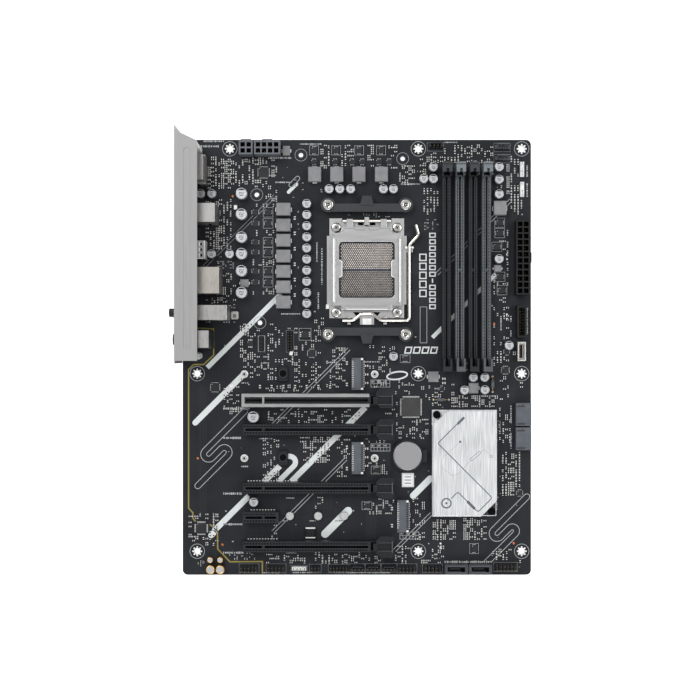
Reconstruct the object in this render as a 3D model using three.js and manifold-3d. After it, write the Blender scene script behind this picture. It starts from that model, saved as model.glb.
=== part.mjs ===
// An ATX motherboard, built as separate pieces on one circuit board.
// Units are millimetres. +X points from the rear connectors to the front edge, +Y from the expansion slots
// to the processor power sockets, and +Z up. Each piece is laid out from the centre of the board's underside,
// and the finished assembly then stands with the middle of its foot on the origin.
import * as THREE from "three";
import { mergeVertices } from "three/addons/utils/BufferGeometryUtils.js";
import Module from "manifold-3d";

const wasm = await Module();
wasm.setup();

// ---------------------------------------------------------------- driving dimensions

const FIT = 0.3; // running gap round anything that moves or passes through a hole
const SNUG = 0.1; // gap between two fixed pieces, one round the other
const BELOW = 2.2; // how far pegs and pin tails reach below the board
const PEG_R = 1.1;
const PEG_SIDES = 6;

const board = { width: 244, length: 304.8, thickness: 1.6, corner: 3.5, mountR: 1.98, coolerHoleR: 1.65 };
const TOP = board.thickness;
const REAR = -board.width / 2;
const FRONT = board.width / 2;
const NORTH = board.length / 2;
const SOUTH = -board.length / 2;

// The plate's window sets the size of everything round it: half its width and half its length.
const windowHalf = { x: 19.4, y: 19.5 };
const socket = {
  x: REAR + 128.9, y: NORTH - 91.4,
  windowCorner: 3, packageGap: 1.8, floor: 2.6, rim: 1.6, rimHeight: 1.4,
  frameHalfX: windowHalf.x + 8.5, frameNorth: windowHalf.y + 16.7, frameSouth: -windowHalf.y - 14.1,
  flangeHalfY: windowHalf.y + 4.5, frameThick: 1.2, railHalfY: windowHalf.y + 3.5, railGap: 0.2,
  screwX: windowHalf.x + 1.9, screwY: windowHalf.y + 10.2, screwR: 1.5, tabInner: 3.9, tabOuter: 4.8,
  plateHalfX: windowHalf.x + 4.6, plateNorth: windowHalf.y + 10.4, plateSouth: -windowHalf.y - 8.4,
  plateThick: 1.5, plateLift: 5, ribWidth: 1.9, ribHeight: 1,
  tabReach: 2.4, tabSouth: -4.6, tabNorth: 6, tabSlope: 1,
  hingeY: windowHalf.y + 14.8, hingeZ: 4.5, hingeR: 0.8, knuckleR: 2, knuckleX: 11.85, knuckleWidth: 4.4,
  backWindow: 24,
};
const lever = { r: 1.15, shaftY: -windowHalf.y - 15.8, shaftZ: 2.75, armX: windowHalf.x + 10.3, armEnd: 14,
  hookX: windowHalf.x + 16.9, hookY: windowHalf.y + 5, tipX: windowHalf.x + 14.8, tipY: windowHalf.y + 11.9,
  crankY: -windowHalf.y - 10.8, crankHalf: 3.75,
  footHalf: 9.3, crankX: 0.2, tailX: -17, bend: 2.2 };
const bracket = { screwX: windowHalf.x + 7.6, screwY: windowHalf.y + 25.5, barWidth: 5.6, barInset: 1.9,
  bossR: 5.1, height: 8, tabBase: 9.5, tabTip: 6, tabReach: 5.4, tabBottom: 3, tabRise: 1, screwR: 1.6,
  headR: 3.6, headHeight: 2.1, recessR: 1.9, recessDepth: 1.1 };

const memory = {
  count: 4, x: socket.x + 55.4, pitch: 9.27, y: socket.y + 1.5,
  width: 6.5, rail: 128.5, height: 8, groove: 1.5, grooveDepth: 6.2, chamfer: 0.8, keyY: -1.75, keyLength: 2,
  towerLength: 8, towerHeight: 21, towerWidth: 6.2, notch: 1.7, notchDepth: 4.6,
  cheek: 1.15, cheekHeight: 12, cheekLength: 6.7,
  latchAxisY: 4.1, latchAxisZ: 3.2, headLength: 6.9, headBottom: 16.4, headTop: 22, pinR: 0.8,
};
const pcie = {
  rear: REAR + 42.9, y: SOUTH + 122.6, pitch: 20.32, length: 88.7, shortLength: 24.9, width: 7.5,
  height: 11.25,
  groove: 1.8, grooveDepth: 8.2, grooveEnd: 1.9, keyX: 13.2, keyLength: 2, chamfer: 0.7,
  armorWall: 0.75, armorLip: 1.5, armorLipThick: 0.6,
  ear: 1, earLength: 4.6, earHeight: 7.4, latchAxisX: 2.9, latchAxisZ: 4.6, stemHalf: 1.1, pinR: 0.7,
  wingInner: 3.6, wingOuter: 16.2, wingWidth: 14.7, wingThick: 1.8, wingZ: 9.4, wingCut: 3.2,
  wingNotch: 0.8, wingNotchHalf: 1.9, channelHalf: 2.6, noseTop: 12.2, firstWingShift: 1.5, firstWingWidth: 13.7,
};
const m2 = { width: 8.2, length: 22.4, height: 4.2, mouthZ: 1.7, mouthHeight: 1.3, mouthDepth: 5.4,
  cheek: 1.3 };
const coin = { x: FRONT - 86.6, y: SOUTH + 83.5, r: 10, thick: 3.2, wall: 0.9, floor: 0.9, tabX: 13.6,
  tabWidth: 8.6, lip: 1.2 };
const sink = { x0: FRONT - 69.6, x1: FRONT - 24.6, y0: SOUTH + 41.6, y1: SOUTH + 115.8, height: 6.6,
  corner: 11.2, recess: 4.6, pinInset: 3.4, pinR: 1.4, chip: 25, chipHeight: 1.4, bevel: 0.7 };
const power = { pitch: 4.2, wall: 0.6, height: 13, cell: 3.1, cellDepth: 9, rampWidth: 7.2, rampReach: 1.2,
  rampHeight: 9 };
const main = { x: FRONT - 7, y: NORTH - 83.2, rows: 12, columns: 2 };
const cpuPower = { y: NORTH - 7.1, x8: REAR + 59.8, x4: REAR + 45, depth: 9.6 };

const shield = {
  face: REAR - 0.6, sheet: 0.8, south: NORTH - 156.5, north: NORTH + 4.1, height: 39,
  flangeInner: REAR + 14.2, flangeSouth: NORTH - 154.6, flangeNorth: NORTH + 1, cut: 7.1,
  grooveInner: REAR + 10, grooveWidth: 5.1, grooveSouth: NORTH - 146.6, grooveNorth: NORTH - 10.7,
  grooveDepth: 0.35, gap: 0.4, postR: 2.8, postX: REAR + 11.4, postSouth: NORTH - 151.3,
  postNorth: NORTH - 7.9,
};
const PORT_PROUD = 0.5; // how far a port's mouth stands out of the shield
const ports = {
  video: { y0: NORTH - 32.8, y1: NORTH - 12.2, inner: REAR + 17.1, height: 28 },
  quad: { y0: NORTH - 60.2, y1: NORTH - 47.3, inner: REAR + 25.2, height: 30 },
  double: { y0: NORTH - 84.5, y1: NORTH - 71.7, inner: REAR + 17.3, height: 16 },
  lan: { y0: NORTH - 108.8, y1: NORTH - 90.8, inner: REAR + 28.1, height: 30 },
  wifi: { y0: NORTH - 126.9, y1: NORTH - 116.7, inner: REAR + 33.5, height: 30 },
  audio: { y0: NORTH - 146.4, y1: NORTH - 133.9, inner: REAR + 21.9, height: 35 },
};
const usbMouth = { width: 12.2, height: 4.4, depth: 9, tongue: 1.9, tongueDepth: 7.6 };
const lanMouth = { width: 11.8, height: 11, depth: 11.5, sill: 16.6 };
const audioJack = { pitch: 11.4, first: 6.2, boreR: 1.75, boreDepth: 12, collarR: 4, collar: 1.6 };
const antenna = { lowZ: 9, pitch: 13.5, r: 3, reach: 5.4, boreR: 1, boreDepth: 3 };
const flash = { y: NORTH - 66.9, width: 8.6, inner: REAR + 13, height: 7.6, buttonR: 1.6, travel: 0.5,
  buttonDepth: 3 };

const sataFlat = { inner: FRONT - 11.2, length: 10.6, width: 15.8, height: 7,
  y: [SOUTH + 112.6, SOUTH + 95.7] };
const sataUp = { x: [FRONT - 52.9, FRONT - 36.2], y: SOUTH + 5.25, width: 16.2, depth: 6.3, height: 9 };
const sataMouth = { width: 11.6, height: 2.4, depth: 6 };
const usb3 = { x: FRONT - 7.4, y: NORTH - 127.5, width: 6.8, length: 22.3, height: 9, wall: 1.5, depth: 7.5 };
const usbC = { x: FRONT - 7.4, y: NORTH - 148.2, width: 5.6, length: 13.3, height: 7.2, wall: 0.9, depth: 6 };

// Mounting holes, measured from the board's rear edge and south edge.
const mountColumns = [REAR + 10.16, REAR + 33.02, REAR + 165.1, REAR + 237.49];
const mountRows = [SOUTH + 16.51, SOUTH + 140.97, SOUTH + 298.45];
const mountHoles = mountRows.flatMap((y, row) =>
  [mountColumns[row === 2 ? 1 : 0], mountColumns[2], mountColumns[3]].map((x) => [x, y]),
);
// Holes for a second cooler pattern, from the socket's centre.
const coolerHoles = [[-46.1, 80.7], [25.2, 78.2], [-77, 52.9], [-74.8, -36.8]];

// ---------------------------------------------------------------- materials

function paint(color, roughness, metalness = 0) {
  return new THREE.MeshStandardMaterial({ color, roughness, metalness });
}
const laminate = paint(0x2b2d32, 0.55);
const steel = paint(0xb9bbbe, 0.35, 1);
const brightSteel = paint(0xdedfe0, 0.22, 1);
const aluminium = paint(0xd8dadc, 0.4, 0.9);
const blackPlastic = paint(0x1d1e21, 0.5);
const slatePlastic = paint(0x5d646b, 0.55);
const greyPlastic = paint(0x7d8589, 0.5);
const paleBluePlastic = paint(0x96a2a8, 0.5);
const contactPlastic = paint(0x6e655d, 0.6);
const paleMetal = paint(0xb4b4b1, 0.5, 0.3);
const nylon = paint(0xd9dcda, 0.45);
const warmShell = paint(0xaaa7a0, 0.45, 0.6);

// ---------------------------------------------------------------- solids

// A three.js geometry as a solid that can be joined and cut.
function solid(geometry) {
  geometry.deleteAttribute("normal");
  geometry.deleteAttribute("uv");
  const merged = mergeVertices(geometry, 1e-4);
  const vertProperties = merged.attributes.position.array;
  const triVerts = new Uint32Array(merged.index.array);
  return new wasm.Manifold(new wasm.Mesh({ numProp: 3, vertProperties, triVerts }));
}

const join = (...pieces) => pieces.reduce((all, piece) => all.add(piece));
const cut = (body, ...tools) => tools.reduce((left, tool) => left.subtract(tool), body);

// A block between two corners, each given as [low, high].
function block([x0, x1], [y0, y1], [z0, z1]) {
  const box = new THREE.BoxGeometry(x1 - x0, y1 - y0, z1 - z0);
  return solid(box.translate((x0 + x1) / 2, (y0 + y1) / 2, (z0 + z1) / 2));
}

// An upright prism of a flat outline.
function prism(points, [z0, z1]) {
  const outline = new THREE.Shape(points.map(([x, y]) => new THREE.Vector2(x, y)));
  const bar = new THREE.ExtrudeGeometry(outline, { depth: z1 - z0, bevelEnabled: false });
  return solid(bar.translate(0, 0, z0));
}

// A section drawn in X and Z, run along Y.
function profile(points, [y0, y1]) {
  const outline = new THREE.Shape(points.map(([x, z]) => new THREE.Vector2(x, z)));
  const bar = new THREE.ExtrudeGeometry(outline, { depth: y1 - y0, bevelEnabled: false });
  return solid(bar.rotateX(Math.PI / 2).translate(0, y1, 0));
}

// An upright prism with rounded corners.
function roundedPrism(halfX, halfY, corner, [z0, z1], steps = 4) {
  const shape = new THREE.Shape();
  const [ix, iy] = [halfX - corner, halfY - corner];
  [[ix, iy], [-ix, iy], [-ix, -iy], [ix, -iy]].forEach(([x, y], quarter) => {
    const start = (quarter * Math.PI) / 2;
    shape.absarc(x, y, corner, start, start + Math.PI / 2, false);
  });
  const options = { depth: z1 - z0, bevelEnabled: false, curveSegments: steps };
  return solid(new THREE.ExtrudeGeometry(shape, options).translate(0, 0, z0));
}

// A round bar along Z, X or Y, from a to b.
function bar(axis, [a, b], r, centre, sides = 12) {
  const rod = new THREE.CylinderGeometry(r, r, b - a, sides).translate(0, (a + b) / 2, 0);
  if (axis === "z") rod.rotateX(Math.PI / 2).translate(centre[0], centre[1], 0);
  if (axis === "x") rod.rotateZ(-Math.PI / 2).translate(0, centre[0], centre[1]);
  if (axis === "y") rod.translate(centre[0], 0, centre[1]);
  return solid(rod);
}

// The path of a bent wire: straight runs joined by arcs, with stations only where the wire bends.
class BentWire extends THREE.Curve {
  constructor(points, bend, arcSteps = 3) {
    super();
    const corners = points.map((p) => new THREE.Vector3(...p));
    this.stations = [];
    corners.forEach((corner, i) => {
      const before = corners[i - 1];
      const after = corners[i + 1];
      if (!before || !after) {
        const [a, b] = before ? [before, corner] : [corner, after];
        this.stations.push([corner, b.clone().sub(a).normalize()]);
        return;
      }
      const reach = Math.min(bend, corner.distanceTo(before) / 2.2, corner.distanceTo(after) / 2.2);
      const enter = corner.clone().add(before.clone().sub(corner).setLength(reach));
      const leave = corner.clone().add(after.clone().sub(corner).setLength(reach));
      const arc = new THREE.QuadraticBezierCurve3(enter, corner, leave);
      for (let k = 0; k <= arcSteps; k++) {
        this.stations.push([arc.getPoint(k / arcSteps), arc.getTangent(k / arcSteps)]);
      }
    });
  }
  get steps() {
    return this.stations.length - 1;
  }
  getPointAt(u) {
    return this.stations[Math.round(u * this.steps)][0].clone();
  }
  getTangentAt(u) {
    return this.stations[Math.round(u * this.steps)][1].clone();
  }
}

function wire(points, r, bend, sides = 8) {
  const section = new THREE.Shape();
  for (let i = 0; i < sides; i++) {
    const turn = (2 * Math.PI * i) / sides;
    const place = [r * Math.cos(turn), r * Math.sin(turn)];
    if (i) section.lineTo(...place);
    else section.moveTo(...place);
  }
  const extrudePath = new BentWire(points, bend);
  return solid(new THREE.ExtrudeGeometry(section, { steps: extrudePath.steps, extrudePath }));
}

// ---------------------------------------------------------------- assembly

const motherboard = new THREE.Group();
motherboard.name = "motherboard";
const drillings = []; // holes that the board gets for the pegs, pins and screws of what it carries

// Turns a solid into a named mesh standing on the board at (x, y), or at height z.
function place(name, body, material, [x, y], z = TOP) {
  const { vertProperties, triVerts } = body.getMesh();
  const geometry = new THREE.BufferGeometry();
  geometry.setAttribute("position", new THREE.BufferAttribute(vertProperties, 3));
  geometry.setIndex(new THREE.BufferAttribute(triVerts, 1));
  geometry.computeVertexNormals();
  const mesh = new THREE.Mesh(geometry, material);
  mesh.name = name;
  mesh.position.set(x, y, z);
  motherboard.add(mesh);
}

// Pegs below a piece at the given spots, and the board's holes for them.
function pegs(spots, [x, y], r = PEG_R) {
  spots.forEach(([px, py]) => drillings.push([x + px, y + py, r + FIT]));
  return spots.map(([px, py]) => bar("z", [-TOP - BELOW, 0.5], r, [px, py], PEG_SIDES));
}

function addBoard() {
  const outline = roundedPrism(board.width / 2, board.length / 2, board.corner, [0, TOP]);
  const through = [-1, TOP + 1];
  const holes = [
    ...mountHoles.map((spot) => bar("z", through, board.mountR, spot, 16)),
    ...coolerHoles.map(([x, y]) => bar("z", through, board.coolerHoleR, [socket.x + x, socket.y + y], 12)),
    ...drillings.map(([x, y, r]) => bar("z", through, r, [x, y], PEG_SIDES)),
  ];
  place("pcb", cut(outline, join(...holes)), laminate, [0, 0], 0);
}

// ---------------------------------------------------------------- processor socket

const socketSpot = [socket.x, socket.y];
const corners = (x, y) => [[-x, y], [x, y], [-x, -y], [x, -y]];
const bracketScrews = corners(bracket.screwX, bracket.screwY);
const socketScrews = corners(socket.screwX, socket.screwY);
const packageHalf = [windowHalf.x + socket.packageGap, windowHalf.y + socket.packageGap];
const housingHalf = packageHalf.map((half) => half + socket.rim);

function addBackplate() {
  const [hx, hy] = [bracket.screwX + bracket.bossR, bracket.screwY + bracket.bossR];
  const waist = socket.screwX + 5;
  const outline = [
    [-hx, hy], [-hx, hy - 14], [-waist, hy - 22], [-waist, 22 - hy], [-hx, 14 - hy], [-hx, -hy],
  ];
  const mirrored = outline.map(([x, y]) => [-x, -y]);
  const plate = prism([...outline, ...mirrored], [-BELOW, -SNUG]);
  const half = socket.backWindow / 2;
  const window = block([-half, half], [-half, half], [-BELOW - 1, 1]);
  const holes = [
    ...bracketScrews.map((spot) => bar("z", [-BELOW - 1, 1], bracket.screwR + FIT, spot)),
    ...socketScrews.map((spot) => bar("z", [-BELOW - 1, 1], socket.screwR + FIT, spot)),
  ];
  place("socket_backplate", cut(plate, window, join(...holes)), steel, socketSpot, 0);
}

function addHousing() {
  const [hx, hy] = housingHalf;
  const [ix, iy] = packageHalf;
  const top = socket.floor + socket.rimHeight;
  const outer = block([-hx, hx], [-hy, hy], [0, top]);
  const bed = roundedPrism(ix, iy, 1.2, [socket.floor, top + 1], 2);
  const wallX = hx - socket.rim;
  const fingerGaps = [-wallX, wallX].map((x) => block([x - 2, x + 2], [-5, 5], [socket.floor, top + 1]));
  place("socket_housing", cut(outer, bed, ...fingerGaps), contactPlastic, socketSpot);
}

// The stamped frame round the housing: flanges, screw tabs, side rails, hinge post, lever saddles and catch.
function addFrame() {
  const [hx, hy] = housingHalf.map((half) => half + FIT);
  const thick = socket.frameThick;
  const flange = [0, thick];
  const rail = [0, socket.plateLift - socket.railGap];
  const tabX = [socket.screwX - socket.tabInner, socket.screwX + socket.tabOuter];
  const side = (sign, [a, b]) => (sign > 0 ? [a, b] : [-b, -a]);
  const pieces = [
    block([-socket.frameHalfX, socket.frameHalfX], [-socket.flangeHalfY, socket.flangeHalfY], flange),
    block([-tabX[1], tabX[1]], [socket.frameSouth, socket.frameNorth - 2.5], flange),
  ];
  [-1, 1].forEach((sign) => {
    pieces.push(block(side(sign, tabX), [socket.frameNorth - 3, socket.frameNorth], flange));
    pieces.push(block(side(sign, [hx, socket.plateHalfX]), [-socket.railHalfY, socket.railHalfY], rail));
  });
  const postY = [socket.hingeY - 3, socket.hingeY + 2.4];
  pieces.push(block([-1.6, 1.6], postY, [0, socket.hingeZ + 2.1]));
  const lipY = [lever.shaftY - 2.9, socket.frameSouth + 1];
  pieces.push(block([lever.crankX - 4.9, lever.crankX + 4.9], lipY, flange));
  [-1, 1].forEach((sign) => {
    const saddle = side(sign, [lever.footHalf + 2.2, lever.footHalf + 4.4]).map((x) => x + lever.crankX);
    pieces.push(block(saddle, [lever.shaftY - 2.9, lever.shaftY + 3], [0, lever.shaftZ + 0.6]));
  });
  const catchY = [lever.armEnd - 1.6, lever.armEnd + 1.6];
  const catchOut = lever.armX + lever.r + FIT;
  const catchTop = lever.shaftZ + 1.4;
  pieces.push(block([socket.plateHalfX, catchOut + 1], catchY, flange));
  pieces.push(block([catchOut, catchOut + 1], catchY, [0, catchTop]));
  const across = [-lever.armX - 1, lever.armX + 1];
  const holes = [
    block([-hx, hx], [-hy, hy], [-1, 9]),
    ...socketScrews.map((spot) => bar("z", [-1, 9], socket.screwR + FIT, spot)),
    bar("x", [-3, 3], socket.hingeR + SNUG, [socket.hingeY, socket.hingeZ], 10),
    bar("x", across, lever.r + FIT, [lever.shaftY, lever.shaftZ], 12),
    block(across, [lever.shaftY - lever.r - FIT, lever.shaftY + lever.r + FIT], [lever.shaftZ, 9]),
  ];
  socketScrews.forEach(([x, y]) => drillings.push([socket.x + x, socket.y + y, socket.screwR + FIT]));
  place("socket_frame", cut(join(...pieces), ...holes), steel, socketSpot);
  const reach = socket.knuckleX + socket.knuckleWidth / 2 + 2.9;
  const pin = bar("x", [-reach, reach], socket.hingeR, [socket.hingeY, socket.hingeZ], 8);
  place("socket_hinge_pin", pin, brightSteel, socketSpot);
}

function addLoadPlate() {
  const { plateHalfX: hx, plateNorth, plateSouth, plateLift, hingeY, hingeZ } = socket;
  const sheet = [plateLift, plateLift + socket.plateThick];
  const rib = [plateLift, sheet[1] + socket.ribHeight];
  const notch = hx - socket.screwX + 3.6;
  const outline = [
    [-hx + notch, plateNorth], [-hx + notch, plateNorth - 4.4], [-hx, plateNorth - 4.4],
    [-hx, plateSouth + 2.9], [-hx + notch, plateSouth + 2.9], [-hx + notch, plateSouth],
  ];
  const sheetOutline = prism([...outline, ...outline.map(([x, y]) => [-x, y]).reverse()], sheet);
  const window = roundedPrism(windowHalf.x, windowHalf.y, socket.windowCorner, [0, 12], 3);
  const pieces = [cut(sheetOutline, window)];
  [-1, 1].forEach((sign) => {
    const outer = sign * hx;
    const inner = sign * (hx - socket.ribWidth);
    const ribEnds = [-socket.railHalfY, socket.railHalfY - 1];
    pieces.push(block([Math.min(outer, inner), Math.max(outer, inner)], ribEnds, rib));
    const { tabSouth, tabNorth, tabSlope } = socket;
    const [root, tip] = [sign * (windowHalf.x + 0.5), sign * (windowHalf.x - socket.tabReach)];
    const tab = [[root, tabSouth - tabSlope], [tip, tabSouth], [tip, tabNorth], [root, tabNorth + tabSlope]];
    pieces.push(prism(sign > 0 ? tab : tab.reverse(), sheet));
    const x = [-1, 1].map((end) => sign * socket.knuckleX + (end * socket.knuckleWidth) / 2);
    pieces.push(block(x, [plateNorth - 1, hingeY], [plateLift, sheet[1]]));
    pieces.push(bar("x", x, socket.knuckleR, [hingeY, hingeZ], 12));
  });
  pieces.push(block([-14, 14], [plateSouth + 0.4, plateSouth + 2.4], [plateLift, sheet[1] + 0.7]));
  const pinHole = bar("x", [-hx, hx], socket.hingeR + FIT, [hingeY, hingeZ], 10);
  place("socket_load_plate", cut(join(...pieces), pinHole), brightSteel, socketSpot);
}

// The lever: tail, crank, shaft, a long arm along the frame and a finger hook that swings out and back.
function addLever() {
  const { shaftY: y, shaftZ: z, crankX: cx } = lever;
  const points = [
    [lever.tailX, y, z], [cx - lever.footHalf, y, z], [cx - lever.crankHalf, lever.crankY, z],
    [cx + lever.crankHalf, lever.crankY, z], [cx + lever.footHalf, y, z], [lever.armX, y, z],
    [lever.armX, lever.armEnd + 3.4, z], [lever.hookX, lever.hookY, z + 1.4], [lever.tipX, lever.tipY, z + 2],
  ];
  place("socket_lever", wire(points, lever.r, lever.bend), brightSteel, socketSpot);
}

// One black cooler bracket: two screw bosses, a bar and a hook tab that points away from the socket.
function addBracket(name, side) {
  const { screwX, screwY, barWidth, barInset, height } = bracket;
  const mid = side * (screwY - barInset);
  const edge = mid + (side * barWidth) / 2;
  const tip = edge + side * bracket.tabReach;
  const [wide, narrow] = [bracket.tabBase / 2, bracket.tabTip / 2];
  const tab = [[-wide, edge - side], [wide, edge - side], [narrow, tip], [-narrow, tip]];
  const ends = [[-screwX, side * screwY], [screwX, side * screwY]];
  const body = join(
    block([-screwX, screwX], [mid - barWidth / 2, mid + barWidth / 2], [0, height]),
    ...ends.map((spot) => bar("z", [0, height], bracket.bossR, spot, 20)),
    prism(tab, [bracket.tabBottom, height + bracket.tabRise]),
  );
  const holes = ends.map((spot) => bar("z", [-1, 12], bracket.screwR + FIT, spot, 10));
  place(name, cut(body, ...holes), blackPlastic, socketSpot);
}

function addBracketScrew(name, [x, y]) {
  drillings.push([socket.x + x, socket.y + y, bracket.screwR + FIT]);
  const headTop = bracket.height + bracket.headHeight;
  const head = bar("z", [bracket.height, headTop], bracket.headR, [0, 0], 16);
  const shank = bar("z", [-TOP - BELOW + 0.4, bracket.height + 0.5], bracket.screwR, [0, 0], 10);
  const recess = bar("z", [headTop - bracket.recessDepth, headTop + 1], bracket.recessR, [0, 0], 6);
  place(name, cut(join(head, shank), recess), brightSteel, [socket.x + x, socket.y + y]);
}

// ---------------------------------------------------------------- memory slots

const memoryHalf = memory.rail / 2;

// A rail with its groove and key, a fixed tower at the south end and two latch cheeks at the north end.
function addMemorySlot(name, spot, material) {
  const { width, height, chamfer, groove, grooveDepth, notch } = memory;
  const hw = width / 2;
  const section = [[-hw, 0], [hw, 0], [hw, height - chamfer], [hw - chamfer, height], [-hw + chamfer, height],
    [-hw, height - chamfer]];
  const rail = profile(section, [-memoryHalf, memoryHalf]);
  const slot = block([-groove / 2, groove / 2], [-memoryHalf - 4, memoryHalf - 1],
    [height - grooveDepth, memory.towerHeight + 1]);
  const key = block([-groove / 2 - 0.2, groove / 2 + 0.2],
    [memory.keyY - memory.keyLength / 2, memory.keyY + memory.keyLength / 2], [1, height - 1]);
  const tower = block([-memory.towerWidth / 2, memory.towerWidth / 2],
    [-memoryHalf - memory.towerLength, -memoryHalf + 1], [0, memory.towerHeight]);
  const edgeNotch = block([-notch, notch], [-memoryHalf - memory.notchDepth, -memoryHalf + 2],
    [memory.towerHeight - 7, memory.towerHeight + 1]);
  const cheekY = [memoryHalf - 1, memoryHalf + memory.cheekLength];
  const cheeks = [-1, 1].map((sign) => {
    const [a, b] = [sign * hw, sign * (hw - memory.cheek)];
    return block([Math.min(a, b), Math.max(a, b)], cheekY, [0, memory.cheekHeight]);
  });
  const foot = block([-hw, hw], cheekY, [0, 0.4]);
  const axis = [memoryHalf + memory.latchAxisY, memory.latchAxisZ];
  const pinHole = bar("x", [-hw - 1, hw + 1], memory.pinR + FIT, axis, 8);
  const feet = pegs([[0, -memoryHalf - 2], [0, memoryHalf - 4]], spot);
  const body = cut(join(rail, tower, foot, ...cheeks), slot, edgeNotch, pinHole);
  place(name, join(body, key, ...feet), material, spot);
}

function addMemoryLatch(name, spot, material) {
  const { width, latchAxisZ: z, cheek } = memory;
  const y = memoryHalf + memory.latchAxisY;
  const stemHalf = width / 2 - cheek - FIT;
  const stem = block([-stemHalf, stemHalf], [y - 1.9, y + 1.9], [1.4, memory.headBottom + 1]);
  const headY = [y - 3.4, y - 3.4 + memory.headLength];
  const head = block([-width / 2, width / 2], headY, [memory.headBottom, memory.headTop]);
  const grip = block([-width / 2 - 1, width / 2 + 1], [headY[1] - 2.2, headY[1] - 1.2],
    [memory.headTop - 1, memory.headTop + 1]);
  const cardNotch = block([-0.9, 0.9], [headY[0] - 1, headY[0] + 2.4],
    [memory.headBottom - 1, memory.headTop + 1]);
  const pin = bar("x", [-width / 2, width / 2], memory.pinR, [y, z], 8);
  place(name, join(cut(join(stem, head), grip, cardNotch), pin), material, spot);
}

// ---------------------------------------------------------------- expansion slots

// A slot from its rear end: x runs from 0 to length.
function slotBody(length, hasEars) {
  const { width, height, groove, grooveDepth, grooveEnd, chamfer, keyX, keyLength } = pcie;
  const hw = width / 2;
  const outer = block([0, length], [-hw, hw], [0, height - chamfer]);
  const crown = block([0, length], [-hw + chamfer, hw - chamfer], [0, height]);
  const slot = block([grooveEnd, length - grooveEnd], [-groove / 2, groove / 2],
    [height - grooveDepth, height + 1]);
  const key = block([keyX, keyX + keyLength], [-groove, groove], [1, height - 0.4]);
  const pieces = [outer, crown];
  if (hasEars) {
    [-1, 1].forEach((sign) => {
      const [a, b] = [sign * hw, sign * (hw - pcie.ear)];
      const ear = [Math.min(a, b), Math.max(a, b)];
      pieces.push(block([length - 1, length + pcie.earLength], ear, [0, pcie.earHeight]));
    });
  }
  const pinHole = bar("y", [-9, 9], pcie.pinR + FIT, [length + pcie.latchAxisX, pcie.latchAxisZ], 8);
  return join(cut(join(...pieces), slot, pinHole), key);
}

function addExpansionSlot(name, spot, length, hasEars) {
  const firstPeg = Math.min(pcie.keyX - 3, length / 3);
  const feet = pegs([[firstPeg, 0], [length - 3, 0]], spot);
  place(name, join(slotBody(length, hasEars), ...feet), blackPlastic, spot);
}

// A folded steel shell round one slot, with a lip over its top edges.
function addArmor(name, spot) {
  const { width, height, length, armorWall, armorLip, armorLipThick } = pcie;
  const hw = width / 2 + SNUG;
  const outer = hw + armorWall;
  const top = height + SNUG + armorLipThick;
  const shell = block([-SNUG - armorWall, length - 1], [-outer, outer], [0.6, top]);
  const inside = block([-SNUG, length], [-hw, hw], [0, height + SNUG]);
  const mouth = block([1.2, length], [-hw + armorLip, hw - armorLip], [0, top + 1]);
  const windows = [0.2, 0.4, 0.6, 0.8].map((share) =>
    block([length * share - 2, length * share + 2], [-outer - 1, outer + 1], [2.5, 5.5]));
  place(name, cut(shell, inside, mouth, ...windows), brightSteel, spot);
}

// A card latch: a stem on a pin between the slot's ears, a nose over the card and a wide wing to press.
function addCardLatch(name, spot, length, wingShift = 0, wingWidth = pcie.wingWidth) {
  const axisX = length + pcie.latchAxisX;
  const stemY = pcie.width / 2 - pcie.ear - FIT;
  const stem = block([axisX - pcie.stemHalf, axisX + pcie.stemHalf], [-stemY, stemY], [1.4, pcie.wingZ + 1]);
  const nose = block([axisX - 1.3, axisX + 1.6], [-stemY, stemY], [pcie.earHeight + 0.8, pcie.noseTop]);
  const [x0, x1] = [length + pcie.wingInner, length + pcie.wingOuter];
  const c = pcie.wingCut;
  const [y0, y1] = [wingShift - wingWidth / 2, wingShift + wingWidth / 2];
  const [bite, half] = [x1 - pcie.wingNotch, pcie.wingNotchHalf];
  const outline = [
    [x0, y0 + c], [x0 + c, y0], [x1 - 1, y0], [x1, y0 + 1], [x1, wingShift - half - 1],
    [bite, wingShift - half], [bite, wingShift + half],
    [x1, wingShift + half + 1], [x1, y1 - 1], [x1 - 1, y1], [x0 + c, y1], [x0, y1 - c],
  ];
  const wing = prism(outline, [pcie.wingZ, pcie.wingZ + pcie.wingThick]);
  const rib = block([x0, bite - 0.4], [-1.4, 1.4], [pcie.wingZ - 1.6, pcie.wingZ + 0.5]);
  const channelY = [-pcie.channelHalf, pcie.channelHalf];
  const channel = block([x0 + 1.6, bite - 1.2], channelY, [pcie.wingZ + 0.7, pcie.wingZ + 5]);
  const pin = bar("y", [-pcie.width / 2, pcie.width / 2], pcie.pinR, [axisX, pcie.latchAxisZ], 8);
  place(name, join(cut(join(stem, nose, wing, rib), channel), pin), blackPlastic, spot);
}

// A drive socket: a low body whose mouth opens towards the rear edge.
function addDriveSocket(name, spot) {
  const [hx, hy] = [m2.width / 2, m2.length / 2];
  const body = block([-hx, hx], [-hy, hy], [0, m2.height]);
  const mouth = block([-hx - 1, -hx + m2.mouthDepth], [-hy + m2.cheek, hy - m2.cheek],
    [m2.mouthZ, m2.mouthZ + m2.mouthHeight]);
  const step = block([-hx - 1, -hx + 1.6], [-hy + m2.cheek, hy - m2.cheek], [m2.mouthZ, m2.height + 1]);
  const feet = pegs([[0.5, -hy + 2], [0.5, hy - 2]], spot, 0.8);
  place(name, join(cut(body, mouth, step), ...feet), slatePlastic, spot);
}

// ---------------------------------------------------------------- battery and heatsink

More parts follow.
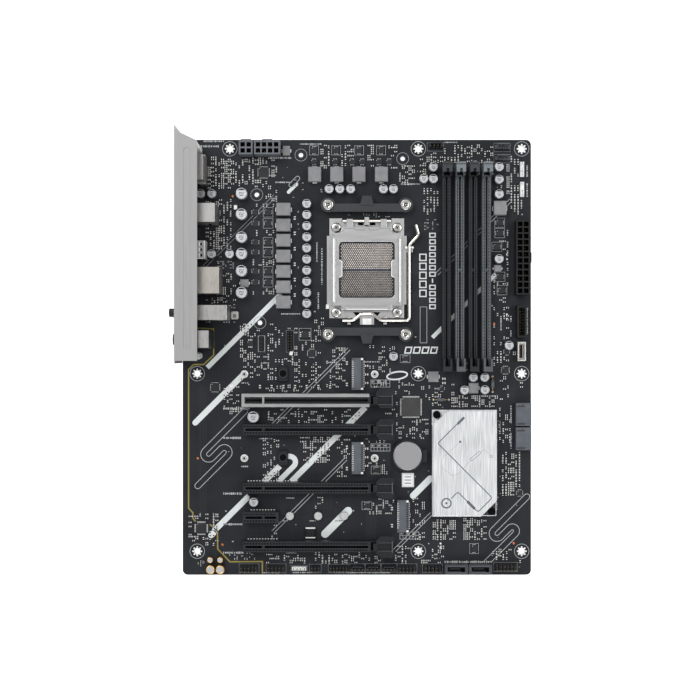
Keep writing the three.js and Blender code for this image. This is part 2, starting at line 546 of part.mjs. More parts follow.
function addBattery() {
  const spot = [coin.x, coin.y];
  const inner = coin.r + FIT;
  const outer = inner + coin.wall;
  const wallTop = coin.floor + coin.thick * 0.8;
  const cup = cut(bar("z", [0, wallTop], outer, [0, 0], 32), bar("z", [coin.floor, 9], inner, [0, 0], 32));
  const clip = block([inner + 0.2, coin.tabX], [-coin.tabWidth / 2, coin.tabWidth / 2], [0, wallTop + 1]);
  const gaps = block([-outer - 1, -outer + 4], [-4, 4], [coin.floor, 9]);
  const feet = pegs([[-7, 0], [coin.tabX - 1.6, 0]], spot);
  place("battery_holder", join(cut(join(cup, clip), gaps), ...feet), blackPlastic, spot);
  const cell = bar("z", [coin.floor + SNUG, coin.floor + SNUG + coin.thick - 0.4], coin.r, [0, 0], 32);
  const can = bar("z", [coin.floor + SNUG + 0.4, coin.floor + SNUG + coin.thick], coin.r - 0.5, [0, 0], 32);
  place("battery_cell", join(cell, can), steel, spot);
}

function addHeatsink() {
  const { x0, x1, y0, y1, chip, chipHeight, height, corner, recess, pinInset, bevel } = sink;
  const spot = [(x0 + x1) / 2, (y0 + y1) / 2];
  const [hx, hy] = [(x1 - x0) / 2, (y1 - y0) / 2];
  const substrate = block([-chip / 2, chip / 2], [-chip / 2, chip / 2], [0, chipHeight / 2]);
  const die = block([-chip / 4, chip / 4], [-chip / 5, chip / 5], [0, chipHeight]);
  place("chipset_package", join(substrate, die), blackPlastic, spot);
  const low = chipHeight + SNUG;
  const top = low + height;
  const slab = block([-hx, hx], [-hy, hy], [low, top - bevel]);
  const crown = block([-hx + bevel, hx - bevel], [-hy + bevel, hy - bevel], [low, top]);
  const recesses = [1, -1].map((sign) => {
    const [ox, oy] = [-sign * (hx + 1), sign * (hy + 1)];
    const reach = sign * (corner + 2);
    return prism([[ox, oy], [ox, oy - reach], [ox + reach, oy]], [top - recess, top + 1]);
  });
  const pinSpots = [1, -1].map((sign) => [-sign * (hx - pinInset), sign * (hy - pinInset)]);
  const pinHoles = pinSpots.map((pin) => bar("z", [0, top], sink.pinR + FIT, pin, 10));
  const stands = pinSpots.map((pin) => bar("z", [0, low + 0.5], sink.pinR + FIT + 1.4, pin, 12));
  pinSpots.forEach(([x, y]) => drillings.push([spot[0] + x, spot[1] + y, sink.pinR + FIT]));
  place("chipset_heatsink", cut(join(slab, crown, ...stands), ...recesses, ...pinHoles), aluminium, spot);
}

// ---------------------------------------------------------------- power sockets

// A block of square cells with a latch ramp on one side: "x" for the +X side, "y" for the +Y side.
function addPowerSocket(name, spot, columns, rows, rampSide, material) {
  const { pitch, wall, height, cell, cellDepth, rampWidth, rampReach, rampHeight } = power;
  const [hx, hy] = [(columns * pitch + 2 * wall) / 2, (rows * pitch + 2 * wall) / 2];
  const body = block([-hx, hx], [-hy, hy], [0, height]);
  const cells = [];
  for (let i = 0; i < columns; i++) {
    for (let j = 0; j < rows; j++) {
      const [x, y] = [(i - (columns - 1) / 2) * pitch, (j - (rows - 1) / 2) * pitch];
      const deep = [height - cellDepth, height + 1];
      cells.push(block([x - cell / 2, x + cell / 2], [y - cell / 2, y + cell / 2], deep));
    }
  }
  const half = rampWidth / 2;
  const ramp = rampSide === "x"
    ? block([hx - 0.5, hx + rampReach], [-half, half], [height - rampHeight, height - 1.5])
    : block([-half, half], [hy - 0.5, hy + rampReach], [height - rampHeight, height - 1.5]);
  const feet = pegs([[-hx + 1.8, -hy + 1.8], [hx - 1.8, hy - 1.8]], spot);
  place(name, join(cut(body, join(...cells)), ramp, ...feet), material, spot);
}

// ---------------------------------------------------------------- rear connectors

const portFace = shield.face - shield.sheet - PORT_PROUD;
const middle = ({ y0, y1 }) => (y0 + y1) / 2;

// The bent sheet behind the connectors: an upright face with a mouth for each, and a flange over them.
function addShield() {
  const { face, sheet, south, north, height, flangeInner, gap } = shield;
  const upright = block([face - sheet, face], [south, north], [-TOP - BELOW, height]);
  const { flangeSouth, flangeNorth, cut: corner } = shield;
  const flange = prism([
    [face - sheet, flangeSouth], [flangeInner, flangeSouth], [flangeInner, flangeNorth - corner],
    [face, flangeNorth], [face - sheet, flangeNorth],
  ], [height - sheet, height]);
  const [x0, x1] = [face - sheet - 1, face + 1];
  const mouths = Object.values(ports).filter((port) => port !== ports.audio && port !== ports.wifi)
    .map(({ y0, y1, height: top }) => block([x0, x1], [y0 - gap, y1 + gap], [-gap, top + gap]));
  const jacks = [0, 1, 2].map((i) => bar("x", [x0, x1], audioJack.collarR + gap,
    [middle(ports.audio), audioJack.first + i * audioJack.pitch], 14));
  const aerials = [0, 1].map((i) => bar("x", [x0, x1], antenna.r + gap,
    [middle(ports.wifi), antenna.lowZ + i * antenna.pitch], 12));
  const button = bar("x", [x0, x1], flash.buttonR + gap, [flash.y, flash.height / 2], 10);
  const grooveX = shield.grooveInner - shield.grooveWidth / 2;
  const half = (shield.grooveNorth - shield.grooveSouth) / 2;
  const groove = roundedPrism(shield.grooveWidth / 2, half, shield.grooveWidth / 2 - 0.05,
    [height - shield.grooveDepth, height + 1], 5).translate([grooveX, shield.grooveSouth + half, 0]);
  const body = cut(join(upright, flange), ...mouths, ...jacks, ...aerials, button, groove);
  place("io_shield", body, paleMetal, [0, 0]);
}

function addShieldPosts() {
  [shield.postSouth, shield.postNorth].forEach((y, i) => {
    const spot = [shield.postX, y];
    const post = bar("z", [0, shield.height - shield.sheet], shield.postR, [0, 0], 6);
    place(`shield_post_${i + 1}`, join(post, ...pegs([[0, 0]], spot)), nylon, spot);
  });
}

// One connector's shell from the shield's face to its inner end, with mouths cut from the face.
function portShell({ y0, y1, inner, height }, reach = portFace) {
  return block([reach, inner], [y0, y1], [0, height]);
}

function portPegs({ y0, y1, inner }) {
  const behind = REAR + 4;
  return pegs([[behind, y0 + 1.8], [behind, y1 - 1.8], [inner - 2, (y0 + y1) / 2]], [0, 0]);
}

// Mouths of USB size one above the other, each with its tongue.
function usbMouths(port, count, firstZ, pitch) {
  const { width, height, depth, tongue, tongueDepth } = usbMouth;
  const y = middle(port);
  const mouths = [];
  const tongues = [];
  for (let i = 0; i < count; i++) {
    const z = firstZ + i * pitch;
    mouths.push(block([portFace - 1, portFace + depth], [y - width / 2 + 0.3, y + width / 2 - 0.3],
      [z - height / 2, z + height / 2]));
    tongues.push(block([portFace + depth - tongueDepth, portFace + depth + 0.5],
      [y - width / 2 + 1.2, y + width / 2 - 1.2], [z - 0.1, z - 0.1 + tongue]));
  }
  return { mouths, tongues };
}

function addUsbStack(name, port, count, firstZ, pitch) {
  const { mouths, tongues } = usbMouths(port, count, firstZ, pitch);
  const body = join(cut(portShell(port), ...mouths), ...tongues, ...portPegs(port));
  place(name, body, warmShell, [0, 0]);
}

function addVideoStack() {
  const port = ports.video;
  const y = middle(port);
  const shells = join(
    block([portFace, port.inner], [port.y0, port.y1], [0, port.height * 0.52]),
    block([portFace, port.inner], [port.y0 + 1.6, port.y1 - 1.6], [0, port.height]),
  );
  const mouth = (z, half) => block([portFace - 1, portFace + 8], [y - half, y + half], [z - 2.1, z + 2.1]);
  const tongue = (z, half) => block([portFace + 2, portFace + 9], [y - half, y + half], [z - 0.7, z + 0.7]);
  const body = join(cut(shells, mouth(7, 7.9), mouth(21, 7.2)), tongue(7, 6.4), tongue(21, 5.6));
  place("video_port_stack", join(body, ...portPegs(port)), warmShell, [0, 0]);
}

function addLanStack() {
  const port = ports.lan;
  const y = middle(port);
  const { mouths, tongues } = usbMouths(port, 2, 4.6, 7.4);
  const { width, height, depth, sill } = lanMouth;
  const socketMouth = block([portFace - 1, portFace + depth], [y - width / 2, y + width / 2],
    [sill, sill + height]);
  const body = join(cut(portShell(port), socketMouth, ...mouths), ...tongues, ...portPegs(port));
  place("lan_usb_stack", body, warmShell, [0, 0]);
}

function addWifi() {
  const port = ports.wifi;
  const y = middle(port);
  const start = shield.face + FIT;
  const can = block([start, port.inner], [port.y0, port.y1], [0, port.height]);
  const feet = pegs([[REAR + 4, port.y0 + 2], [port.inner - 3, middle(port)]], [0, 0]);
  place("wifi_module", join(can, ...feet), warmShell, [0, 0]);
  [0, 1].forEach((i) => {
    const z = antenna.lowZ + i * antenna.pitch;
    const tip = start - SNUG - shield.sheet - antenna.reach;
    const thread = bar("x", [tip, start - SNUG], antenna.r, [y, z], 12);
    const core = bar("x", [tip - 1, tip + antenna.boreDepth], antenna.boreR, [y, z], 8);
    place(`antenna_jack_${i + 1}`, cut(thread, core), blackPlastic, [0, 0]);
  });
}

function addAudioStack() {
  const port = ports.audio;
  const y = middle(port);
  const start = shield.face + FIT;
  const pieces = [block([start, port.inner], [port.y0, port.y1], [0, port.height])];
  const bores = [];
  [0, 1, 2].forEach((i) => {
    const z = audioJack.first + i * audioJack.pitch;
    const tip = shield.face - shield.sheet - audioJack.collar;
    pieces.push(bar("x", [tip, start + 1], audioJack.collarR, [y, z], 14));
    bores.push(bar("x", [tip - 1, tip + audioJack.boreDepth], audioJack.boreR, [y, z], 10));
  });
  const feet = pegs([[REAR + 4, port.y0 + 2], [port.inner - 3, middle(port)]], [0, 0]);
  place("audio_jack_stack", join(cut(join(...pieces), ...bores), ...feet), blackPlastic, [0, 0]);
}

function addFlashSwitch() {
  const half = flash.width / 2;
  const start = shield.face + FIT;
  const z = flash.height / 2;
  const body = block([start, flash.inner], [flash.y - half, flash.y + half], [0, flash.height]);
  const seat = start + flash.buttonDepth;
  const bore = bar("x", [start - 1, seat], flash.buttonR + FIT, [flash.y, z], 10);
  const feet = pegs([[flash.inner - 3, flash.y - 2.4], [flash.inner - 3, flash.y + 2.4]], [0, 0], 0.8);
  place("flashback_switch", join(cut(body, bore), ...feet), blackPlastic, [0, 0]);
  const outside = shield.face - shield.sheet - flash.travel - 0.2;
  const button = bar("x", [outside, seat - flash.travel - FIT], flash.buttonR, [flash.y, z], 10);
  place("flashback_button", button, slatePlastic, [0, 0]);
}

// ---------------------------------------------------------------- drive and front-panel connectors

function addFlatSata(name, y) {
  const { inner, length, width, height } = sataFlat;
  const { width: mw, height: mh, depth } = sataMouth;
  const body = block([inner, inner + length], [y - width / 2, y + width / 2], [0, height]);
  const end = inner + length;
  const sill = (height - mh) / 2;
  const open = [end - depth, end + 1];
  const mouth = block(open, [y - mw / 2, y + mw / 2], [sill, sill + mh]);
  const key = block(open, [y + mw / 2 - 2, y + mw / 2], [sill, sill + mh + 1.2]);
  const tongue = block([end - depth - 0.5, end - 1.5], [y - mw / 2 + 1, y + mw / 2 - 3],
    [sill + 0.6, sill + 1.8]);
  const feet = pegs([[inner + 3, y - 4.4], [inner + 3, y + 4.4]], [0, 0], 0.9);
  place(name, join(cut(body, mouth, key), tongue, ...feet), slatePlastic, [0, 0]);
}

function addUprightSata(name, x) {
  const { y, width, depth, height } = sataUp;
  const { width: mw, height: mh, depth: md } = sataMouth;
  const body = block([x - width / 2, x + width / 2], [y - depth / 2, y + depth / 2], [0, height]);
  const mouth = block([x - mw / 2, x + mw / 2], [y - mh / 2, y + mh / 2], [height - md, height + 1]);
  const key = block([x + mw / 2 - 2, x + mw / 2], [y - mh / 2 - 1.2, y + mh / 2], [height - md, height + 1]);
  const tongue = block([x - mw / 2 + 1, x + mw / 2 - 3], [y - 0.6, y + 0.6],
    [height - md - 0.5, height - 1.5]);
  const feet = pegs([[x - 6, y], [x + 6, y]], [0, 0], 0.9);
  place(name, join(cut(body, mouth, key), tongue, ...feet), blackPlastic, [0, 0]);
}

function addShroud(name, { x, y, width, length, height, wall, depth }, material) {
  const [hx, hy] = [width / 2, length / 2];
  const body = block([x - hx, x + hx], [y - hy, y + hy], [0, height]);
  const inside = block([x - hx + wall, x + hx - wall], [y - hy + wall, y + hy - wall],
    [height - depth, height + 1]);
  const feet = pegs([[x, y - hy + 3], [x, y + hy - 3]], [0, 0], 0.9);
  place(name, join(cut(body, inside), ...feet), material, [0, 0]);
}

// ---------------------------------------------------------------- the whole object

addBackplate();
addHousing();
addFrame();
addLoadPlate();
addLever();
addBracket("cooler_bracket_upper", 1);
addBracket("cooler_bracket_lower", -1);
bracketScrews.forEach((spot, i) => addBracketScrew(`bracket_screw_${i + 1}`, spot));

for (let i = 0; i < memory.count; i++) {
  const spot = [memory.x + i * memory.pitch, memory.y];
  const [body, latch] = i % 2 ? [slatePlastic, greyPlastic] : [blackPlastic, blackPlastic];
  addMemorySlot(`memory_slot_${i + 1}`, spot, body);
  addMemoryLatch(`memory_latch_${i + 1}`, spot, latch);
}

const slotRows = [0, 1, 3, 5]; // rows of the full-length slots, counted from the north
slotRows.forEach((row, i) => {
  const spot = [pcie.rear, pcie.y - row * pcie.pitch];
  addExpansionSlot(`pcie_slot_${i + 1}`, spot, pcie.length, true);
  const wing = i ? [] : [pcie.firstWingShift, pcie.firstWingWidth];
  addCardLatch(`pcie_latch_${i + 1}`, spot, pcie.length, ...wing);
});
addArmor("pcie_slot_1_armor", [pcie.rear, pcie.y]);
addExpansionSlot("pcie_x1_slot", [pcie.rear, pcie.y - 4 * pcie.pitch], pcie.shortLength, false);

const driveSockets = [
  [REAR + 122.5, SOUTH + 140.8],
  [REAR + 122.5, SOUTH + 82],
  [REAR + 154.2, SOUTH + 41.4],
];
driveSockets.forEach((spot, i) => addDriveSocket(`m2_socket_${i + 1}`, spot));
addBattery();
addHeatsink();

addPowerSocket("main_power_connector", [main.x, main.y], main.columns, main.rows, "x", blackPlastic);
addPowerSocket("cpu_power_connector_8", [cpuPower.x8, cpuPower.y], 4, 2, "y", paleBluePlastic);
addPowerSocket("cpu_power_connector_4", [cpuPower.x4, cpuPower.y], 2, 2, "y", paleBluePlastic);

addShield();
addShieldPosts();
addVideoStack();
addUsbStack("usb_stack_quad", ports.quad, 4, 4.2, 7.2);
addUsbStack("usb_stack_double", ports.double, 2, 4.4, 7.4);
addLanStack();
addWifi();
addAudioStack();
addFlashSwitch();

sataFlat.y.forEach((y, i) => addFlatSata(`sata_port_right_${i + 1}`, y));
sataUp.x.forEach((x, i) => addUprightSata(`sata_port_lower_${i + 1}`, x));
addShroud("usb3_header", usb3, blackPlastic);
addShroud("usbc_header", usbC, brightSteel);
addBoard();

const whole = new THREE.Box3().setFromObject(motherboard);
const middleOfWhole = whole.getCenter(new THREE.Vector3());
motherboard.position.set(-middleOfWhole.x, -middleOfWhole.y, -whole.min.z);

export default motherboard;
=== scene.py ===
"""The looks of an ATX motherboard: its frame's finishes, the printed layer, the soldered parts and a studio.

Blender works in metres. The sizes below are millimetres: x and y from the board's centre, z up from its top.
"""

import math
import random

import bpy
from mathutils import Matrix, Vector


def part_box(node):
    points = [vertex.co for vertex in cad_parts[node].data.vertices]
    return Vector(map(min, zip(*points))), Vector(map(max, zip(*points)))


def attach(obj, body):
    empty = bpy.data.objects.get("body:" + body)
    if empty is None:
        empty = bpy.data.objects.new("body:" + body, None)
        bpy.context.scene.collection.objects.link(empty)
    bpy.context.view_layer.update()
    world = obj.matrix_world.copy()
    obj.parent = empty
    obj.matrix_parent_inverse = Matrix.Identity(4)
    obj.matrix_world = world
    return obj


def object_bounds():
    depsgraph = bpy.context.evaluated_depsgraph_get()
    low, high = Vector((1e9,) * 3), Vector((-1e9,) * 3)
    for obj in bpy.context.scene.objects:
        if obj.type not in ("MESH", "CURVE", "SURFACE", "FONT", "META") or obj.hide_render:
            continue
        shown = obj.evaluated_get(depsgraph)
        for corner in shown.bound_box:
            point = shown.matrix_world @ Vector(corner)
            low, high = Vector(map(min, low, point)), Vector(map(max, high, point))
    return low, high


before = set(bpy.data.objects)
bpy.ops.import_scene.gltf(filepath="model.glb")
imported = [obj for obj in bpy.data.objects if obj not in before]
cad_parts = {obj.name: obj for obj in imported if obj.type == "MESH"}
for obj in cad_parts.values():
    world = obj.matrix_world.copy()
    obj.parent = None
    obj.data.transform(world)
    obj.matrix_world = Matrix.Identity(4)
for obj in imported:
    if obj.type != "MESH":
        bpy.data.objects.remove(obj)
cad_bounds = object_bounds()

MM = 0.001
board_low, board_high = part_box("pcb")
BOARD_X = (board_low.x + board_high.x) / 2 / MM
BOARD_Y = (board_low.y + board_high.y) / 2 / MM
TOP = board_high.z / MM
THICK = (board_high.z - board_low.z) / MM
PRINT_Z = 0.03  # height of the printed layer over the solder mask
TRACE_Z = 0.015  # height of what shows faintly through the mask
DIAGONAL = 225  # heading of the printed stripes, down and to the rear
ARC_STEP = 15  # degrees between points on a printed arc
MITER_FLOOR = 0.35  # keeps a line's sharp corners from running out
NOISE_MIDDLE = (0.3, 0.7)  # where nearly all of a noise pattern's values lie


def extent(node):
    """A CAD node's box in millimetres, as (x0, y0, z0, x1, y1, z1), with z from the board's top."""
    low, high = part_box(node)
    return (
        low.x / MM - BOARD_X, low.y / MM - BOARD_Y, low.z / MM - TOP,
        high.x / MM - BOARD_X, high.y / MM - BOARD_Y, high.z / MM - TOP,
    )


def centre(node):
    x0, y0, _, x1, y1, _ = extent(node)
    return (x0 + x1) / 2, (y0 + y1) / 2


# ------------------------------------------------------------------ outlines


def turns(steps):
    return [2 * math.pi * k / steps for k in range(steps)]


def circle(r, sides=20):
    return [(r * math.cos(t), r * math.sin(t)) for t in turns(sides)]


def rectangle(width, length, corner=0.0, steps=3):
    """Points anticlockwise round a rectangle centred on the origin, with rounded corners if asked."""
    hx, hy = width / 2, length / 2
    if corner <= 0:
        return [(hx, hy), (-hx, hy), (-hx, -hy), (hx, -hy)]
    points = []
    for quarter, (sx, sy) in enumerate([(1, 1), (-1, 1), (-1, -1), (1, -1)]):
        for k in range(steps + 1):
            turn = math.radians(90 * (quarter + k / steps))
            x = sx * (hx - corner) + corner * math.cos(turn)
            y = sy * (hy - corner) + corner * math.sin(turn)
            points.append((x, y))
    return points


def moved(points, x, y, turn=0.0):
    c, s = math.cos(math.radians(turn)), math.sin(math.radians(turn))
    return [(x + px * c - py * s, y + px * s + py * c) for px, py in points]


def walk(start, heading, *moves):
    """Points along a path on the board: a number goes straight, a pair (radius, turn) follows an arc."""
    x, y = start
    angle = math.radians(heading)
    points = [(x, y)]
    for move in moves:
        if not isinstance(move, tuple):
            x += move * math.cos(angle)
            y += move * math.sin(angle)
            points.append((x, y))
            continue
        radius, turn = move
        side = math.copysign(radius, turn)
        cx, cy = x - side * math.sin(angle), y + side * math.cos(angle)
        steps = max(2, round(abs(turn) / ARC_STEP))
        for _ in range(steps):
            angle += math.radians(turn) / steps
            x, y = cx + side * math.sin(angle), cy - side * math.cos(angle)
            points.append((x, y))
    return points


def parallel(points, distance, closed=False):
    """The path that runs beside another at a distance, to its left if positive."""
    n = len(points)
    result = []
    for i, (x, y) in enumerate(points):
        before = points[i - 1] if i or closed else None
        after = points[(i + 1) % n] if i < n - 1 or closed else None
        a = unit(before, (x, y)) if before else unit((x, y), after)
        b = unit((x, y), after) if after else a
        nx, ny = -(a[1] + b[1]), a[0] + b[0]
        scale = distance / max(MITER_FLOOR, (nx * nx + ny * ny) / 2)
        result.append((x + nx * scale, y + ny * scale))
    return result


def unit(a, b):
    dx, dy = b[0] - a[0], b[1] - a[1]
    size = math.hypot(dx, dy) or 1.0
    return dx / size, dy / size


def capsule(points, width):
    """The closed outline of a band along a path, with round ends."""
    left = parallel(points, width / 2)
    right = parallel(points, -width / 2)[::-1]
    return left + round_end(left[-1], right[0]) + right + round_end(right[-1], left[0])


def round_end(a, b, steps=6):
    """Points between a and b on a half circle that bulges to the left of the way from b to a."""
    cx, cy = (a[0] + b[0]) / 2, (a[1] + b[1]) / 2
    start = math.atan2(a[1] - cy, a[0] - cx)
    r = math.hypot(a[0] - cx, a[1] - cy)
    turns = [start - math.pi * k / steps for k in range(1, steps)]
    return [(cx + r * math.cos(t), cy + r * math.sin(t)) for t in turns]


# ------------------------------------------------------------------ pieces


class Kit:
    """One piece being made from simple solids."""

    def __init__(self, name, *finishes):
        self.name = name
        self.finishes = finishes
        self.verts, self.faces, self.slots, self.soft = [], [], [], []

    def face(self, corners, slot, soft=False):
        self.faces.append(corners)
        self.slots.append(slot)
        self.soft.append(soft)

    def loft(self, rings, slots=(0,), cap=None, soft=False, bottom=True):
        """Skins between rings of points that run anticlockwise, from the lowest up, and caps the ends."""
        first, n = len(self.verts), len(rings[0])
        for ring in rings:
            self.verts += ring
        for k in range(len(rings) - 1):
            slot = slots[min(k, len(slots) - 1)]
            for i in range(n):
                a, b = first + k * n + i, first + k * n + (i + 1) % n
                self.face((a, b, b + n, a + n), slot, soft)
        if bottom:
            self.face(tuple(range(first + n - 1, first - 1, -1)), slots[0])
        top = first + (len(rings) - 1) * n
        self.face(tuple(range(top, top + n)), slots[-1] if cap is None else cap)

    def block(self, x, y, width, length, z0, z1, slot=0, chamfer=0.0, turn=0.0, corner=0.0, cap=None):
        """A box with softened top edges."""
        edge = min(chamfer, width / 3, length / 3)
        rings = []
        for inset, z in ((0, z0), (0, z1 - edge), (edge, z1)) if edge else ((0, z0), (0, z1)):
            outline = rectangle(width - 2 * inset, length - 2 * inset, corner)
            rings.append([(px, py, z) for px, py in moved(outline, x, y, turn)])
        self.loft(rings, (slot,), cap)

    def drum(self, x, y, profile, slots=(0,), sides=20, cap=None, bottom=True):
        """A turned shape: profile lists (radius, z) from the lowest up."""
        rings = [[(x + px, y + py, z) for px, py in circle(r, sides)] for r, z in profile]
        self.loft(rings, slots, cap, soft=True, bottom=bottom)

    def rod(self, a, b, r, slot=0, sides=8):
        """A round bar between two points."""
        axis = [b[i] - a[i] for i in range(3)]
        size = norm(axis)
        d = [v / size for v in axis]
        u = cross((0, 0, 1) if abs(d[2]) < 0.9 else (1, 0, 0), d)
        scale = norm(u)
        u = [v / scale for v in u]
        w = cross(d, u)
        ring = [[u[i] * px + w[i] * py for i in range(3)] for px, py in circle(r, sides)]
        rings = [[tuple(a[i] + p[i] + d[i] * t for i in range(3)) for p in ring] for t in (0, size)]
        self.loft(rings, (slot,), soft=True)

    def sheet(self, points, z, slot=0):
        """A flat printed patch."""
        first = len(self.verts)
        self.verts += [(x, y, z) for x, y in points]
        self.face(tuple(range(first, first + len(points))), slot)

    def ribbon(self, points, width, z=PRINT_Z, slot=0, closed=False):
        """A printed line of even width along a path."""
        left, right = parallel(points, width / 2, closed), parallel(points, -width / 2, closed)
        first, n = len(self.verts), len(points)
        self.verts += [(x, y, z) for x, y in left + right]
        for i in range(n if closed else n - 1):
            j = (i + 1) % n
            self.face((first + n + i, first + n + j, first + j, first + i), slot)

    def ring(self, x, y, r, width, z=PRINT_Z, slot=0, sides=24):
        """A printed circle."""
        self.ribbon(moved(circle(r, sides), x, y), width, z, slot, closed=True)

    def box(self, x, y, width, length, line, z=PRINT_Z, slot=0, corner=0.0):
        """A printed rectangle, measured along the middle of its line."""
        self.ribbon(moved(rectangle(width, length, corner), x, y), line, z, slot, closed=True)

    def done(self, body="board"):
        """Makes the mesh and hands it to a CAD body."""
        mesh = bpy.data.meshes.new(self.name)
        points = [((x + BOARD_X) * MM, (y + BOARD_Y) * MM, (z + TOP) * MM) for x, y, z in self.verts]
        mesh.from_pydata(points, [], self.faces)
        for finish in self.finishes:
            mesh.materials.append(finish)
        mesh.polygons.foreach_set("material_index", self.slots)
        mesh.polygons.foreach_set("use_smooth", self.soft)
        piece = bpy.data.objects.new(self.name, mesh)
        bpy.context.scene.collection.objects.link(piece)
        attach(piece, body)


def norm(v):
    return math.sqrt(sum(c * c for c in v))


def cross(a, b):
    return [a[1] * b[2] - a[2] * b[1], a[2] * b[0] - a[0] * b[2], a[0] * b[1] - a[1] * b[0]]


def soften(piece, width):
    """Rounds a CAD node's sharp edges a little, so that they catch the light."""
    weld = piece.modifiers.new("weld", "WELD")
    weld.merge_threshold = 0.002 * MM
    bevel = piece.modifiers.new("edges", "BEVEL")
    bevel.width = width * MM
    bevel.segments = 2
    bevel.limit_method = "ANGLE"
    bevel.angle_limit = math.radians(35)
    bevel.harden_normals = False


# ------------------------------------------------------------------ finishes


def rgb(red, green, blue):
    """A screen colour, 0 to 255, as the linear light that a shader takes."""
    levels = [c / 255 for c in (red, green, blue)]
    return tuple(((v + 0.055) / 1.055) ** 2.4 if v > 0.04 else v / 12.92 for v in levels)


class Finish:
    """A principled material under construction, on object coordinates."""

    def __init__(self, name, roughness, metallic=0.0, coat=0.0, specular=0.5):
        self.material = bpy.data.materials.new(name)
        self.material.use_nodes = True
        self.nodes = self.material.node_tree.nodes
        self.links = self.material.node_tree.links
        self.shader = self.nodes["Principled BSDF"]
        self.shader.inputs["Roughness"].default_value = roughness
        self.shader.inputs["Metallic"].default_value = metallic
        self.shader.inputs["Specular IOR Level"].default_value = specular
        self.shader.inputs["Coat Weight"].default_value = coat
        self.place = self.nodes.new("ShaderNodeTexCoord").outputs["Object"]

    def noise(self, scale, detail=3.0, stretch=(1, 1, 1)):
        """A grey pattern; scale counts its features per metre."""
        mapping = self.nodes.new("ShaderNodeMapping")
        mapping.inputs["Scale"].default_value = stretch
        texture = self.nodes.new("ShaderNodeTexNoise")
        texture.inputs["Scale"].default_value = scale
        texture.inputs["Detail"].default_value = detail
        self.links.new(self.place, mapping.inputs["Vector"])
        self.links.new(mapping.outputs["Vector"], texture.inputs["Vector"])
        return texture.outputs["Fac"]

    def spread(self, value, low, high):
        """Stretches the middle of a noise pattern between two values."""
        node = self.nodes.new("ShaderNodeMapRange")
        node.inputs["From Min"].default_value, node.inputs["From Max"].default_value = NOISE_MIDDLE
        node.inputs["To Min"].default_value = low
        node.inputs["To Max"].default_value = high
        self.links.new(value, node.inputs["Value"])
        return node.outputs["Result"]

    def colour(self, value, dark, light):
        """The colour runs between two with a pattern."""
        mix = self.nodes.new("ShaderNodeMix")
        mix.data_type = "RGBA"
        mix.inputs["A"].default_value = (*dark, 1)
        mix.inputs["B"].default_value = (*light, 1)
        self.links.new(self.spread(value, 0, 1), mix.inputs["Factor"])
        self.links.new(mix.outputs["Result"], self.shader.inputs["Base Color"])
        return self

    def rough(self, value, low, high):
        self.links.new(self.spread(value, low, high), self.shader.inputs["Roughness"])
        return self

    def bump(self, value, depth, strength=0.5):
        node = self.nodes.new("ShaderNodeBump")
        node.inputs["Strength"].default_value = strength
        node.inputs["Distance"].default_value = depth * MM
        self.links.new(value, node.inputs["Height"])
        self.links.new(node.outputs["Normal"], self.shader.inputs["Normal"])
        return self


def shaded(colour, share):
    return tuple(c * share for c in colour)


def plastic(name, colour, roughness=0.45, grain=2600, depth=0.02, specular=0.25):
    """Moulded plastic: a fine spark-eroded grain and a slight unevenness of tone."""
    finish = Finish(name, roughness, specular=specular)
    finish.colour(finish.noise(180), shaded(colour, 0.86), shaded(colour, 1.12))
    finish.rough(finish.noise(900), roughness - 0.08, roughness + 0.1)
    return finish.bump(finish.noise(grain, 2), depth).material


def metal(name, colour, roughness, stretch=(1, 1, 1), grain=3000, depth=0.004, metallic=1.0, uneven=1.0):
    """Metal with the direction of its rolling, brushing or plating in its sheen."""
    finish = Finish(name, roughness, metallic)
    streaks = finish.noise(grain, 4, stretch)
    finish.colour(streaks, shaded(colour, 1 - 0.1 * uneven), shaded(colour, 1 + 0.05 * uneven))
    finish.rough(streaks, roughness - 0.07 * uneven, roughness + 0.1 * uneven)
    return finish.bump(streaks, depth).material


def satin_paint():
    """Smooth black powder paint of the cooler brackets."""
    finish = Finish("satin_black", 0.33, coat=0.25, specular=0.5)
    return finish.colour(finish.noise(60), rgb(34, 35, 39), rgb(42, 43, 48)).material


def solder_mask():
    """Charcoal lacquer over the laminate: the glass weave and copper pours just show through it."""
    finish = Finish("solder_mask", 0.42, coat=0.03, specular=0.14)
    finish.colour(finish.noise(45, 5), rgb(29, 31, 34), rgb(37, 39, 44))
    finish.rough(finish.noise(700), 0.36, 0.5)
    weave = finish.nodes.new("ShaderNodeTexWave")
    weave.wave_type = "BANDS"
    weave.bands_direction = "DIAGONAL"
    weave.inputs["Scale"].default_value = 420
    weave.inputs["Distortion"].default_value = 1.5
    finish.links.new(finish.place, weave.inputs["Vector"])
    return finish.bump(weave.outputs["Fac"], 0.008, 0.35).material


def printed(name, colour, roughness=0.6):
    """Screen-printed ink, slightly patchy."""
    finish = Finish(name, roughness, specular=0.3)
    finish.colour(finish.noise(1500, 4), shaded(colour, 0.88), colour)
    return finish.bump(finish.noise(4000, 2), 0.01, 0.3).material


def brushed_heatsink():
    """Near-white aluminium brushed along the board's long side."""
    finish = Finish("brushed_aluminium", 0.42, 0.72)
    streaks = finish.noise(3600, 6, (1, 0.016, 1))
    finish.colour(streaks, rgb(166, 169, 171), rgb(234, 236, 237))
    finish.rough(streaks, 0.34, 0.52)
    return finish.bump(streaks, 0.004, 0.4).material


def contact_plastic():
    """The socket's contact carrier: warm grey, with a diagonal weave of tiny cells."""
    finish = Finish("contact_carrier", 0.6, specular=0.3)
    cells = finish.nodes.new("ShaderNodeTexVoronoi")
    cells.inputs["Scale"].default_value = 1150
    cells.inputs["Randomness"].default_value = 0.15
    finish.links.new(finish.place, cells.inputs["Vector"])
    finish.colour(cells.outputs["Distance"], rgb(66, 64, 64), rgb(42, 41, 42))
    return finish.bump(cells.outputs["Distance"], 0.05, 0.5).material


